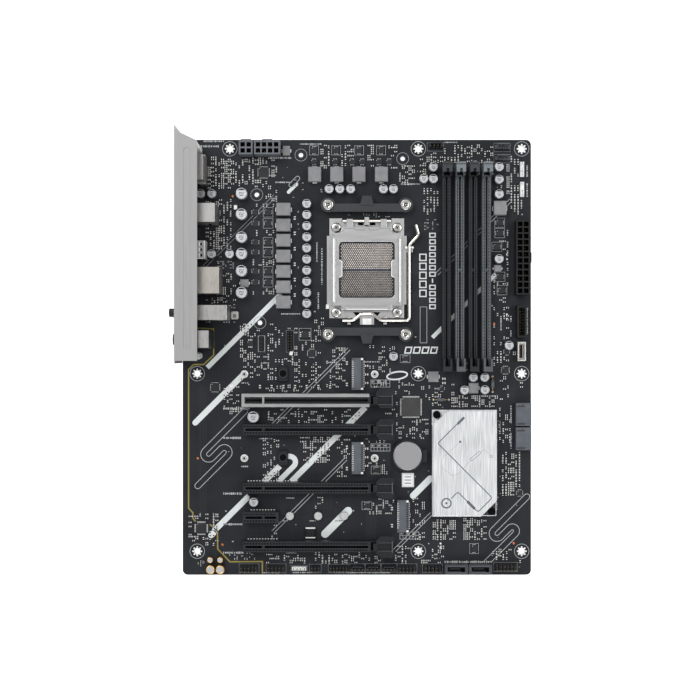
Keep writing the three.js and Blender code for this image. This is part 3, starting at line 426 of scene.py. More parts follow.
def nylon():
    """Translucent nylon of the shield's posts."""
    finish = Finish("nylon", 0.4, specular=0.4)
    finish.colour(finish.noise(300), rgb(205, 208, 206), rgb(226, 228, 226))
    finish.shader.inputs["Subsurface Weight"].default_value = 0.25
    finish.shader.inputs["Subsurface Radius"].default_value = (0.002, 0.002, 0.002)
    return finish.bump(finish.noise(1800), 0.01, 0.3).material


MASK = solder_mask()
INK = printed("ink", rgb(206, 212, 211))
FINE_INK = printed("fine_ink", rgb(172, 176, 176))
DIM_INK = printed("dim_ink", rgb(132, 136, 138))
OLIVE = printed("olive_ink", rgb(136, 124, 62))
TRACE = printed("trace_under_mask", rgb(36, 38, 43), 0.4)
PAPER = printed("paper_label", rgb(222, 224, 224))
BLACK = plastic("black_plastic", rgb(29, 30, 34), 0.38)
COAL = plastic("coal_plastic", rgb(16, 17, 19), 0.5)
SLOT_BLACK = plastic("slot_plastic", rgb(33, 35, 38), 0.42)
# lighter copies of the slot plastics: painted highlights along the slots' rail, groove and shoulder edges
RAIL_EDGE_HIGHLIGHT = plastic("slot_rail_painted_highlight", rgb(66, 69, 74), 0.4)
PALE_RAIL_HIGHLIGHT = plastic("pale_rail_painted_highlight", rgb(122, 127, 131), 0.4)
# near-black: real black print and plastic, and painted shade in holes, windows, cut-outs and recesses
BLACK_AND_PAINTED_SHADE = plastic("deep_black_and_painted_shade", rgb(6, 6, 7), 0.8, specular=0.1)
SATIN_BLACK = satin_paint()
LATCH_GREY = plastic("latch_plastic", rgb(43, 46, 51), 0.33, specular=0.5)
SLATE = plastic("slate_plastic", rgb(84, 88, 95))
MID_GREY = plastic("mid_grey_plastic", rgb(77, 81, 84))
LIGHT_GREY = plastic("light_grey_plastic", rgb(108, 115, 118))
PALE_BLUE = plastic("pale_blue_plastic", rgb(96, 100, 106))
WHITE = plastic("white_plastic", rgb(218, 219, 217))
BLUE = plastic("blue_plastic", rgb(48, 96, 176))
GREEN = plastic("green_plastic", rgb(122, 168, 88))
PINK = plastic("pink_plastic", rgb(206, 128, 146))
CLEAR = plastic("milky_plastic", rgb(168, 170, 168), 0.3)
FERRITE = plastic("ferrite", rgb(126, 126, 128), 0.6, 3800, 0.02)
EPOXY = plastic("chip_epoxy", rgb(36, 37, 40), 0.45, 4200, 0.012)
GREY_EPOXY = plastic("grey_chip_epoxy", rgb(58, 57, 57), 0.5, 4200, 0.012)
CERAMIC = plastic("ceramic_tan", rgb(112, 102, 92), 0.5)
CERAMIC_DARK = plastic("ceramic_grey", rgb(62, 61, 60), 0.5)
RESISTOR = plastic("resistor_black", rgb(24, 25, 28), 0.35)
TIN = metal("tin", rgb(232, 232, 230), 0.4, metallic=0.4)
COPPER = metal("copper", rgb(196, 120, 78), 0.35)
GOLD = metal("gold", rgb(226, 184, 104), 0.28)
DULL_PIN = metal("dull_pin", rgb(128, 116, 92), 0.4)
STEEL = metal("rolled_steel", rgb(180, 180, 180), 0.36, (1, 0.08, 1), 900, 0.0008, uneven=0.5)
BRIGHT = metal("nickel_plate", rgb(214, 212, 208), 0.2, grain=900, depth=0.001, uneven=0.4)
ROD = metal("lever_rod", rgb(204, 200, 195), 0.26, grain=900, depth=0.001, uneven=0.4)
# near-white painted highlight: glints on the load plate's ribs, tabs and frame lip, the lever catch domes and
# the short USB stack's springs and rim
PAINTED_HIGHLIGHT = plastic("painted_highlight_white", rgb(244, 244, 243), 0.3)
# grey painted shade lines beside the load plate's ribs and along its steps and lip
PAINTED_EDGE_SHADE = plastic("painted_edge_shade", rgb(120, 121, 124), 0.4)
ZINC = metal("zinc_nut", rgb(178, 178, 178), 0.5, metallic=0.4, uneven=0.5)
PLATE = metal("stamped_plate", rgb(188, 188, 189), 0.32, (0.12, 1, 1), 300, 0.0004, uneven=0.35)
ARMOR = metal("armor_steel", rgb(174, 174, 174), 0.34, (0.05, 1, 1), 1600, 0.001, uneven=0.5)
SHELL = metal("port_shell", rgb(162, 161, 160), 0.4, (1, 0.2, 1), 1200, 0.002)
# a paler, less metallic copy of the port shell: painted light on the short stack's top
LIT_SHORT_SHELL = metal("short_port_shell_painted_light", rgb(172, 172, 172), 0.5, (1, 0.2, 1), 1200, 0.002, metallic=0.2)
WARM_SHELL = metal("network_shell", rgb(165, 161, 155), 0.4, (1, 0.2, 1), 1200, 0.002)
CAN_MARK = printed("can_mark", rgb(100, 102, 108))
CAN_TOP = metal("can_aluminium", rgb(192, 194, 197), 0.38, metallic=0.8)
SHIELD = metal("painted_shield", rgb(152, 151, 151), 0.5, (1, 0.03, 1), 1400, 0.003, metallic=0.35)
CELL = metal("battery_steel", rgb(155, 155, 157), 0.42, metallic=0.9)
HEATSINK = brushed_heatsink()
CARRIER = contact_plastic()
CARRIER_RIM = plastic("carrier_rim", rgb(58, 63, 74), 0.5)
BLADE = plastic("contact_blade", rgb(216, 208, 202), 0.35, 900, 0.001, 0.7)
# the same contact blades in a darker copy, as painted shade on the lower field
BLADE_SHADED = plastic("contact_blade_painted_shade", rgb(170, 164, 158), 0.35, 900, 0.001, 0.7)
NYLON = nylon()


# ------------------------------------------------------------------ the CAD frame's finishes


def dress(nodes, finish, edge=0.0):
    """Gives CAD nodes a finish and slightly softened edges."""
    for name in nodes:
        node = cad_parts[name]
        node.data.materials.clear()
        node.data.materials.append(finish)
        if edge:
            soften(node, edge)


def numbered(stem, *numbers):
    return [f"{stem}_{i}" for i in numbers]


def dress_frame():
    dress(["pcb"], MASK)
    dress(["socket_backplate", "socket_frame"], STEEL, 0.12)
    dress(["socket_housing"], CARRIER, 0.1)
    dress(["socket_load_plate"], PLATE, 0.22)
    dress(["socket_lever", "socket_hinge_pin"], ROD)
    dress(["cooler_bracket_upper", "cooler_bracket_lower"], SATIN_BLACK, 0.7)
    dress(numbered("bracket_screw", 1, 2, 3, 4), BRIGHT, 0.3)
    dress(numbered("memory_slot", 1, 3), SLOT_BLACK, 0.12)
    dress(numbered("memory_latch", 1, 3), LATCH_GREY, 0.2)
    dress(numbered("memory_slot", 2, 4), MID_GREY, 0.12)
    dress(numbered("memory_latch", 2, 4), LIGHT_GREY, 0.2)
    dress(numbered("pcie_slot", 1, 2, 3, 4) + ["pcie_x1_slot"], SLOT_BLACK, 0.12)
    dress(numbered("pcie_latch", 1, 2, 3, 4), BLACK, 0.25)
    dress(["pcie_slot_1_armor"], ARMOR, 0.12)
    dress(numbered("m2_socket", 1, 2, 3), SLATE, 0.12)
    dress(["chipset_package"], EPOXY, 0.1)
    dress(["chipset_heatsink"], HEATSINK, 0.2)
    dress(["battery_holder"], BLACK, 0.2)
    dress(["battery_cell"], CELL, 0.25)
    dress(["main_power_connector"], COAL, 0.12)
    dress(["cpu_power_connector_8", "cpu_power_connector_4"], PALE_BLUE, 0.12)
    dress(["io_shield"], SHIELD, 0.15)
    dress(["shield_post_1", "shield_post_2"], NYLON, 0.3)
    dress(["video_port_stack", "usb_stack_quad", "wifi_module"], SHELL, 0.15)
    dress(["usb_stack_double"], LIT_SHORT_SHELL, 0.15)
    dress(["lan_usb_stack"], WARM_SHELL, 0.15)
    dress(["antenna_jack_1", "antenna_jack_2", "audio_jack_stack", "flashback_switch"], BLACK, 0.12)
    dress(["flashback_button"], LIGHT_GREY, 0.15)
    dress(numbered("sata_port_right", 1, 2), SLATE, 0.2)
    dress(numbered("sata_port_lower", 1, 2), BLACK, 0.15)
    dress(["usb3_header"], COAL, 0.15)
    dress(["usbc_header"], BRIGHT, 0.12)


# ------------------------------------------------------------------ room on the board

taken = []  # rectangles on the board's top that hold something already


def claim(x, y, width, length):
    taken.append((x - width / 2, y - length / 2, x + width / 2, y + length / 2))


def is_free(x, y, width, length, gap=0.25):
    x0, y0, x1, y1 = x - width / 2 - gap, y - length / 2 - gap, x + width / 2 + gap, y + length / 2 + gap
    return not any(x0 < bx1 and x1 > bx0 and y0 < by1 and y1 > by0 for bx0, by0, bx1, by1 in taken)


def claim_frame():
    """Keeps the soldered parts clear of every CAD node that stands on the board."""
    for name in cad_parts:
        if name in ("pcb", "socket_backplate", "io_shield"):
            continue
        x0, y0, _, x1, y1, _ = extent(name)
        taken.append((x0, y0, x1, y1))
    for x, y in MOUNT_HOLES:
        claim(x, y, 11, 11)
    for x, y in COOLER_HOLES:
        claim(x, y, 8.4, 8.4)


MOUNT_HOLES = [(x, 146.05) for x in (-88.98, 43.1, 115.49)]
MOUNT_HOLES += [(x, y) for y in (-11.43, -135.89) for x in (-111.84, 43.1, 115.49)]
POWER_SOCKETS = [
    ("main_power_connector", 2, 12),
    ("cpu_power_connector_8", 4, 2),
    ("cpu_power_connector_4", 2, 2),
]
PAD_RING_R = 5.1  # printed ring round a mounting hole
COOLER_HOLES = [(-39.2, 141.7), (32.1, 139.2), (-70.1, 113.9), (-67.9, 24.2)]


# ------------------------------------------------------------------ printed layer


def hole_pads():
    """Solder pads in a printed ring at each mounting hole, and two rings at each spare cooler hole."""
    kit = Kit("mounting_pads", TIN, FINE_INK, TRACE)
    for x, y in MOUNT_HOLES:
        kit.ring(x, y, PAD_RING_R, 0.28, slot=1, sides=36)
        kit.ring(x, y, 2.25, 0.4, TRACE_Z)
        for px, py in circle(2.95, 8):
            kit.drum(x + px, y + py, [(0.62, 0), (0.62, 0.03), (0.4, 0.08)], sides=10)
    for x, y in COOLER_HOLES:
        kit.ring(x, y, 2.2, 0.8, TRACE_Z, 2, 28)
        kit.ring(x, y, 4.2, 0.22, slot=1, sides=28)
    kit.done()


def printed_stripes():
    """The broad pale stripes, all at 45 degrees."""
    kit = Kit("printed_stripes", INK)
    flat = [
        ((-53.2, 44.4), 73, 3.4), ((6.0, -35.1), 73.5, 4.0), ((-53.9, -76.1), 15.8, 4.0),
        ((-75.6, -97.2), 34.8, 4.0),
        ((97.5, 58.4), 63, 2.8),
    ]
    for start, length, width in flat:
        kit.ribbon(walk(start, DIAGONAL, length), width)
    rounded = [
        ((-79.1, -11.7), 48.3, 4.0), ((-6.1, -107.6), 22.8, 5.6), ((51.4, -85.0), 16.9, 4.5),
        ((-42.5, 121.1), 7.6, 2.4),
        ((-100.4, -123.0), 2.5, 4.0),
    ]
    for start, length, width in rounded:
        kit.sheet(capsule(walk(start, DIAGONAL, length), width)[::-1], PRINT_Z)
    kit.ribbon(walk((-48.4, -69.4), 0, 1.4, (4.0, -135), 15.5), 3.6)
    kit.done()


def printed_lines():
    """Fine outlines: meandering bands, paired lines, boxes round parts and small tables."""
    kit = Kit("printed_lines", FINE_INK, OLIVE, DIM_INK)
    line = 0.4
    bands = [
        walk((-78.4, -37.6), DIAGONAL, 39.5, (3.45, 180), 8.8, (3.4, -180), 29.8),
        walk((119.1, -97.7), DIAGONAL, 33, (3.45, 180), 8.9, (2.9, -180), 29),
        walk((-41.5, 125.4), DIAGONAL, 6.5),
    ]
    for path, width in zip(bands, (4.1, 4.1, 3.0)):
        kit.ribbon(capsule(path, width), line, closed=True)
    pairs = [
        ((-57.4, 113.1), 70), ((-5.5, 5.9), 76), ((-7.6, -71.2), 72.4),
        ((52.3, -109.5), 36.6), ((108, 110.3), 73.4),
    ]
    for i, (start, length) in enumerate(pairs):
        path = walk(start, DIAGONAL, length)
        for offset in (1.05, -1.05):
            kit.ribbon(parallel(path, offset), line, slot=0 if i else 2)
    olive = [
        [(-111.7, 20.4), (-100.5, 19.9), (-100.3, 1.6), (-107.4, -5.1), (-114.4, -5.1), (-117.9, -8.7),
            (-117.9, -105.7),
         (-114.9, -108.9), (-114.9, -112.7), (-113, -115.1)],
        [(-103.1, -117), (-97.7, -121.7), (-97.5, -134.3), (-88.9, -143.3), (-66.2, -143.1), (-66.2, -151.8)],
    ]
    for path in olive:
        kit.ribbon(path, 0.95, slot=1)
    for box in ((46.7, 22.7, 4.7, 25.2), (-66.8, 9.5, 4.6, 11.2)):
        kit.box(*box, 0.3)
    for x, y in ((16.5, -18.4), (16.5, -63.2), (36.8, -124.9)):
        small_table(kit, x, y)
    kit.done()


def small_table(kit, x, y):
    """A printed jumper table: two rows of cells, some of them filled."""
    width, height, columns = 13.3, 5.0, 6
    kit.box(x, y, width, height, 0.3)
    kit.ribbon([(x - width / 2, y), (x + width / 2, y)], 0.25)
    for i in range(1, columns):
        cx = x - width / 2 + width * i / columns
        kit.ribbon([(cx, y - height / 2), (cx, y + height / 2)], 0.22)
        if i % 2:
            kit.block(cx - width / columns / 2, y + height / 4, 1.1, 0.9, 0, PRINT_Z + 0.01)


def paper_label():
    """The label beside the battery: a plain border and three bars."""
    kit = Kit("paper_label", PAPER, BLACK_AND_PAINTED_SHADE)
    x, y = 35.8, -86
    kit.block(x, y, 8.4, 9.8, 0, 0.08, corner=0.4)
    kit.box(x, y, 7.2, 8.6, 0.14, 0.1, 1)
    for step in (2.2, 0, -2.2):
        kit.block(x, y + step, 4.6, 0.5, 0.05, 0.1, 1)
    kit.done()


def reference_marks():
    """Short dashes and corner ticks where a real board has its part references, with nothing to read."""
    rng = random.Random(11)
    kit = Kit("reference_marks", FINE_INK)
    rows = [
        (-104, 147.8, 16, 1.5), (-32, 149.4, 16, 0.9), (66, 150.6, 10, 0.9), (-60, 127.4, 8, 0.9),
        (-51, 122.6, 12, 1.0),
        (38, 121.4, 14, 1.0), (-100, 36.2, 24, 1.0), (-27, 40, 1, 12), (-24.5, 64, 1, 26), (-28, 74, 1, 14),
        (-46, 30.4, 14, 0.9), (-84.3, -35.9, 18.6, 1.5), (-87, -56.5, 13, 1.5), (-86.7, -95.5, 13.6, 1.5),
        (-86.7, -117, 13.6, 1.5), (-86.8, -136.9, 13.6, 1.5), (-53.2, 139.7, 15.4, 1.3),
        (-100, 151.4, 15, 1.3),
        (10, -3.2, 12, 0.9), (-17, -3.6, 9, 0.9), (70, -143.4, 17, 1.6), (86.8, -143.4, 15, 1.6),
        (108, -58, 1, 12), (108, -40, 1, 12), (-60, -150.9, 12, 0.9), (-38, -150.8, 14, 0.9),
        (4, -150.8, 40, 0.9),
        (101, 24, 1, 10), (119.4, 25, 1, 18), (119.3, 131, 1, 9), (119.3, 117, 1, 9), (98, -104, 1, 6),
        (-46.5, -98.6, 6, 0.9), (-50.5, -114.6, 5, 0.9), (-30.5, -114.6, 5, 0.9), (-12.5, -114.6, 5, 0.9),
        (-78.5, -76.5, 5, 0.9), (-78.5, -18, 5, 0.9), (55, -124, 4, 0.9), (-64, -57, 9, 0.9),
    ]
    for x, y, width, height in rows:
        dashes(kit, rng, x, y, width, height)
    for _ in range(190):
        x, y = rng.uniform(-100, 117), rng.uniform(-148, 148)
        if is_free(x, y, 1.6, 1.0):
            kit.block(x, y, rng.choice((0.4, 0.8, 1.1)), rng.choice((0.3, 0.7)), 0, PRINT_Z)
            claim(x, y, 1.6, 1.0)
    kit.done()


def dashes(kit, rng, x, y, width, height):
    """A row of blocks of uneven length along the longer side of a box."""
    along_x = width >= height
    length, thick = (width, height) if along_x else (height, width)
    at = -length / 2
    while at < length / 2 - 0.5:
        step = rng.choice((0.5, 0.8, 1.1))
        px, py = (x + at + step / 2, y) if along_x else (x, y + at + step / 2)
        size = (step, thick * rng.choice((0.7, 1))) if along_x else (thick * rng.choice((0.7, 1)), step)
        kit.block(px, py, *size, 0, PRINT_Z)
        at += step + rng.choice((0.3, 0.35, 0.7))


def word_blocks():
    """Rows of plain open boxes in place of the printed names beside the processor socket."""
    kit = Kit("printed_name_boxes", INK)
    rows = [(46.3, 57.4, 5.2, 31.5, 5), (53.0, 60.5, 4.6, 54.6, 12)]
    for x, y, width, length, count in rows:
        cell = length / count
        for i in range(count):
            cy = y - length / 2 + (i + 0.5) * cell
            if count > 5 and i == 4:
                kit.block(x, cy, 0.9, cell - 1.6, 0, PRINT_Z)
                continue
            kit.box(x, cy, width - 0.8, cell - 1.9, 0.8)
    for i in range(4):
        slanted = [(-2.0, -2.0), (2.0, -2.0), (2.9, 2.0), (-1.1, 2.0)]
        kit.ribbon(moved(slanted, 35.6 + 6 * i, 5.0), 0.9, closed=True)
    kit.ribbon(moved([(7.2 * x, 2.6 * y) for x, y in circle(1, 36)], 28.2, -12.8, 8), 1.1, closed=True)
    kit.done()


def traces():
    """Bundles of copper lines that show as a faint relief under the mask."""
    kit = Kit("trace_relief", TRACE)
    bundles = [
        ([(37, 84), (44, 91), (58, 91)], 9, 0.75), ([(38, 44), (43, 39), (58, 39)], 9, 0.75),
        ([(38, 62), (58, 62)], 12, 0.7), ([(-12, 21), (-12, 6), (-20, -2), (-20, -25)], 10, 0.8),
        ([(20, 20), (20, 8), (27, 1)], 8, 0.8), ([(-108, -20), (-108, -112)], 6, 1.0),
        ([(70, -4), (70, -30), (75, -35)], 8, 0.9),
        ([(-30, -44), (-30, -60), (-42, -72), (-42, -86)], 12, 0.9),
        ([(20, -60), (20, -100), (10, -110), (10, -140)], 8, 0.9),
        ([(108, -20), (108, -28)], 8, 0.8), ([(-24, -96), (-24, -106)], 14, 1.0),
        ([(100, -126), (60, -126), (52, -134)], 7, 0.9),
        ([(-88, 100), (-88, 30)], 6, 1.0), ([(110, 100), (110, 40)], 5, 1.0),
        ([(-60, -60), (-60, -86)], 10, 1.0),
    ]
    for path, count, pitch in bundles:
        for i in range(count):
            kit.ribbon(parallel(path, (i - (count - 1) / 2) * pitch), 0.28, TRACE_Z)
    kit.done()


def vias():
    """Plated holes strewn over the free board, with a few copper and tinned test pads."""
    rng = random.Random(3)
    kit = Kit("vias", TRACE, TIN, COPPER)
    for _ in range(900):
        x, y = rng.uniform(-117, 118), rng.uniform(-149, 149)
        if is_free(x, y, 0.8, 0.8):
            kit.ring(x, y, 0.3, 0.2, TRACE_Z, sides=8)
    for x, y in ((-111.5, -70.8), (-94.2, -131.3), (109.9, -130.3), (96.1, 23.5), (-87, 112.8)):
        kit.drum(x, y, [(0.9, 0), (0.9, 0.05), (0.6, 0.1)], (2,), 14)
        claim(x, y, 2, 2)
    places = [(-55, -131), (58.6, -130.5), (58.6, -133.5)] + [(105.2, y) for y in (72, 68.8, 27, 30)]
    for x, y in places:
        kit.drum(x, y, [(0.7, 0), (0.7, 0.05), (0.45, 0.1)], (1,), 12)
        claim(x, y, 1.8, 1.8)
    kit.done()


# ------------------------------------------------------------------ power parts


def choke(name, x, y, width, length, height=6.2, ends="x"):
    """A moulded power choke: a pressed ferrite block over two copper tabs."""
    kit = Kit(name, FERRITE, TIN)
    kit.block(x, y, width, length, 0.25, height, 0, 0.45, corner=0.5)
    reach = 0.75
    if ends == "x":
        for side in (-1, 1):
            kit.block(x + side * (width / 2 + reach / 2), y, reach, length * 0.34, 0, 1.4, 1, 0.15)
    else:
        kit.block(x, y - length / 2 - reach / 2, width * 0.34, reach, 0, 1.4, 1, 0.15)
        kit.block(x, y + length / 2 + reach / 2, width * 0.34, reach, 0, 1.4, 1, 0.15)
    kit.block(x, y, width * 0.8, length * 0.8, 0, 0.4, 1)
    claim(x, y, width + 2 * reach, length + 2 * reach)
    kit.done()


def chokes():
    for i, y in enumerate((103.3, 92.2, 81.6, 70.6, 59.9, 49.1, 38.5)):
        choke(f"choke_west_{i + 1}", -51.3, y, 10.0, 8.8)
    for i, x in enumerate((-29.5, -14.1, 1.4, 17.1)):
        choke(f"choke_north_{i + 1}", x, 127.6, 9.1, 10.3, ends="y")
    choke("choke_memory", 99.9, 104.1, 8.9, 9.9)
    small = [
        (53.5, -13.6, 7.5, 7.5), (81.6, -21.5, 7, 7.4), (98.4, 62.2, 5.4, 4.7), (-78.6, 51.8, 5.8, 5.6),
        (-49.3, 144.4, 5.2, 6.6),
    ]
    for i, (x, y, width, length) in enumerate(small):
        choke(f"choke_small_{i + 1}", x, y, width, length, 3.2)


def can_capacitor(kit, x, y, r, height):
    """A solid capacitor: a black seat, a crimped can and a printed segment on its top."""
    seat = 2 * r + 0.3
    c = r * 0.42
    h = seat / 2
    outline = [(h, h), (-h, h), (-h, -h + c), (-h + c, -h), (h - c, -h), (h, -h + c)]
    kit.loft([[(x + px, y + py, z) for px, py in outline] for z in (0, 1.1)], (1,))
    profile = [
        (r * 0.94, 1.0), (r * 0.94, 1.3), (r, 1.5), (r, 2.0), (r * 0.93, 2.3), (r * 0.93, 2.6), (r, 2.9),
        (r, height - 0.55), (r * 0.97, height - 0.2), (r * 0.88, height), (r * 0.86, height - 0.06),
    ]
    kit.drum(x, y, profile, sides=28)
    top = height - 0.03
    kit.ring(x, y, r * 0.84, 0.14, top, 3)
    arc = [math.radians(40 + 100 * k / 10) for k in range(11)]
    kit.sheet([(x + 0.84 * r * math.cos(t), y + 0.84 * r * math.sin(t)) for t in arc], top, 2)
    for k, bars in enumerate((((-0.16, 0.5), (0.34, 0.22)), ((-0.3, 0.24), (0.16, 0.42)), ((0.02, 0.62),))):
        for column, share in bars:
            bar = moved(rectangle(r * share, r * 0.15), x + r * column, y + r * (0.16 - 0.27 * k))
            kit.sheet(bar, top, 3)
    claim(x, y, seat + 1.2, seat)


def capacitors():
    groups = {
        "capacitors_rear": [
            (-80.3, 113.9), (-80.3, 99.6), (-80.3, 83.6), (-80.3, 72.1), (-80.3, 60.2),
            (-80.3, 45.1), (-72.1, -41.5),
        ],
        "capacitors_port": [(-109, 114), (-101.2, 114), (-101.3, 72), (-88.7, 72.1), (-71.9, -100.9)],
        "capacitors_column": [(-35, 107.1 - 7.75 * i) for i in range(9)] + [(-35, 37.7), (-35, 30.4)],
        "capacitors_row": [(x, 117.3) for x in (-19.4, -11.9, -4.4, 18.4, 25.4)],
        "capacitors_memory": [
            (53.3, 132.6), (46.6, 124.5), (53.3, 124.5), (99.1, 132.7), (99.1, 124),
            (99.1, 113.8), (99.1, 68.6), (106.1, 8.3), (25.5, 0.7),
        ],
        "capacitors_south": [(81.1, -13.9), (89, -13.9), (75, -22.8), (89.2, -22.6)],
    }
    for name, spots in groups.items():
        r, height = (4.0, 9.0) if name == "capacitors_rear" else (3.15, 7.0)
        kit = Kit(name, CAN_TOP, BLACK, RESISTOR, CAN_MARK)
        for x, y in spots:
            can_capacitor(kit, x, y, r, height)
        kit.done()
    audio = Kit("capacitors_audio", CAN_TOP, GOLD)
    for x, y, r in ((-102.3, -141.2, 2), (-95.3, -141.2, 2), (-102.1, -147.9, 3), (-95.3, -147.9, 3)):
        can = [(r, 0), (r, 6.2), (r * 0.95, 6.5), (r * 0.8, 6.6), (r * 0.78, 6.5)]
        audio.drum(x, y, can, (1, 1, 1, 0), 24)
        claim(x, y, 2 * r + 0.6, 2 * r + 0.6)
    audio.done()


# ------------------------------------------------------------------ chips


def flat_pack(kit, x, y, width, length, height=0.9, pins="xy", pitch=0.5, frame_print=False):
    """A moulded package with gull-wing leads on two or four sides."""
    reach = 1.0 if height > 1 else 0.45
    kit.block(x, y, width, length, 0.05, height, 0, 0.18)
    dot = [(0.28, height - 0.05), (0.28, height + 0.01)]
    kit.drum(x - width / 2 + 0.9, y + length / 2 - 0.9, dot, (2,), 10)
    for side in (-1, 1):
        if "x" in pins:
            for k in range(int((length - 1) / pitch)):
                py = y + (k - (int((length - 1) / pitch) - 1) / 2) * pitch
                px = x + side * (width / 2 + reach / 2 - 0.1)
                kit.block(px, py, reach + 0.2, pitch * 0.52, 0, 0.22, 1, 0.04)
        if "y" in pins:
            for k in range(int((width - 1) / pitch)):
                px = x + (k - (int((width - 1) / pitch) - 1) / 2) * pitch
                py = y + side * (length / 2 + reach / 2 - 0.1)
                kit.block(px, py, pitch * 0.52, reach + 0.2, 0, 0.22, 1, 0.04)
    if frame_print:
        kit.box(x, y, width + 2 * reach + 1.0, length + 2 * reach + 1.0, 0.2, slot=2)
    claim(x, y, width + 2 * reach + 0.9, length + 2 * reach + 0.9)


def controllers():
    host = Kit("input_output_controller", GREY_EPOXY, TIN, FINE_INK)
    flat_pack(host, 37.9, -34.8, 13.2, 13.2, 1.5, pitch=0.62)
    host.done()
    kit = Kit("controllers", EPOXY, TIN, FINE_INK)
    flat_pack(kit, -109, -119.7, 7.4, 7.4, 1.3, pitch=0.65)
    flat_pack(kit, 82.1, -134, 4.2, 5.2, 0.9, "y", 0.65, True)
    for x, y, width, length in ((-99.3, -21, 6, 6), (-31.6, 2.8, 5.4, 5.4), (-65.3, 129.5, 7.4, 7.4),
                                (-99, 101, 6, 5.4),
                                (104, -9, 5, 5), (105, 4, 3.6, 4.4), (59.5, -22, 3.4, 3.4), (114, -95, 4, 4)):
        flat_pack(kit, x, y, width, length, 0.9)
    flat_pack(kit, -36.3, 16.1, 5.3, 5.3, 1.7, "x", 1.27, True)
    flat_pack(kit, -74.7, 9.7, 4.9, 3.9, 1.5, "y", 1.1)
    for x, y in ((33.8, -1), (-46, -134.5), (76, -6.5), (13.5, -79), (7, -104)):
        flat_pack(kit, x, y, 5, 3.6, 0.9, "y", 0.65, True)
    kit.done()


def power_stages():
    """The transistors beside the chokes: flat packages inside printed boxes."""
    kit = Kit("power_stages", EPOXY, TIN, FINE_INK)
    for x, low in ((-62.2, 4.9), (-71.1, 4.4)):
        for y in (101.6, 93.8, 80.6, 73.6, 60.2, 52.6):
            flat_pack(kit, x, y, low, 4.8, 0.95, "x", 1.0, x > -70)
    for x in (-30.0, -14.5, 1.6, 17.0):
        flat_pack(kit, x, 145, 4.4, 4.6, 0.95, "y", 1.0, True)
    for x in (-30, -15.3, -3.3, 3.7, 15.4, 22.6):
        flat_pack(kit, x, 136.9, 4.9, 3.6, 0.95, "y", 1.0)
    for x, y in ((100, 94.3), (100, 87), (98.1, 77.4), (100.3, 56.4), (101.7, 47), (97, -48)):
        flat_pack(kit, x, y, 5, 4.6, 0.95, "x", 1.0, True)
    kit.done()


def axial_parts():
    """Two fuses on wire leads and the crystal cans."""
    kit = Kit("axial_parts", SLATE, GOLD, TIN)
    for a, b in (((53.3, -29.7), (64.5, -29.7)), ((95, -13.1), (95, -25))):
        ux, uy = unit(a, b)
        at = [(a[0] + ux * t, a[1] + uy * t, 1.4) for t in (0.4, 2.8, 8.6, 11)]
        kit.rod(at[0], at[3], 0.4, 1)
        kit.rod(at[1], at[2], 1.25, 0, 14)
        for x, y, _ in (at[0], at[3]):
            kit.drum(x, y, [(0.9, 0), (0.75, 0.4), (0.4, 1.5)], (2,), 10)
        claim((a[0] + b[0]) / 2, (a[1] + b[1]) / 2, abs(a[0] - b[0]) + 2.6, abs(a[1] - b[1]) + 2.6)
    for x, y, turn in ((-85, 105, 90), (-46, 3, 80), (-88, -20, 10), (16.5, -27.2, 0), (-20.5, 35.5, 90)):
        kit.block(x, y, 3.2, 2.4, 0, 0.8, 2, 0.15, turn, 0.3)
        kit.block(x, y, 2.6, 1.8, 0.8, 0.95, 2, 0.1, turn, 0.3)
        claim(x, y, 3.8, 3.8)
    kit.done()


# ------------------------------------------------------------------ small chip parts

CHIP_SIZES = {
    "0402": (1.0, 0.5, 0.45), "0603": (1.6, 0.8, 0.7),
    "0805": (2.0, 1.25, 0.8), "1206": (3.2, 1.6, 1.1),
}


def chip_part(kit, x, y, size, body, turned):
    """A chip resistor or capacitor: body, tinned ends and the solder that meets its pads."""
    length, width, height = CHIP_SIZES[size]
    turn = 90 if turned else 0
    kit.block(x, y, length * 0.6, width * 0.94, 0.04, height, body, 0.05, turn)
    for side in (-1, 1):
        dx = side * length * 0.4
        px, py = (x, y + dx) if turned else (x + dx, y)
        kit.block(px, py, length * 0.27, width, 0.02, height + 0.02, 0, 0.05, turn)
        kit.block(px, py, length * 0.34, width * 1.16, 0, height * 0.25, 0, 0, turn)


def scatter(name, regions, seed):
    """Fills regions (x0, y0, x1, y1, share filled, size or none for 0603) with rows of small parts."""
    rng = random.Random(seed)
    kit = Kit(name, TIN, CERAMIC, CERAMIC_DARK, RESISTOR)
    for region in regions:
        x0, y0, x1, y1, share, size = (*region, "0603")[:6]
        length, width, _ = CHIP_SIZES[size]
        cell_x, cell_y = length + 0.75, length + 0.45
        turned_column = [rng.random() < 0.5 for _ in range(int((x1 - x0) / cell_x) + 2)]
        for i in range(int((x1 - x0) / cell_x)):
            step = (width + 0.62) if not turned_column[i] else cell_y
            for j in range(int((y1 - y0) / step)):
                if rng.random() > 0.9 * share:
                    continue
                x, y = x0 + (i + 0.5) * cell_x, y0 + (j + 0.5) * step
                turned = turned_column[i]
                sx, sy = (width, length) if turned else (length, width)
                if is_free(x, y, sx + 0.2, sy + 0.2, 0.12):
                    chip_part(kit, x, y, size, rng.choice((1, 2, 2, 3, 3, 3, 3)), turned)
                    claim(x, y, sx + 0.3, sy + 0.3)
    kit.done()


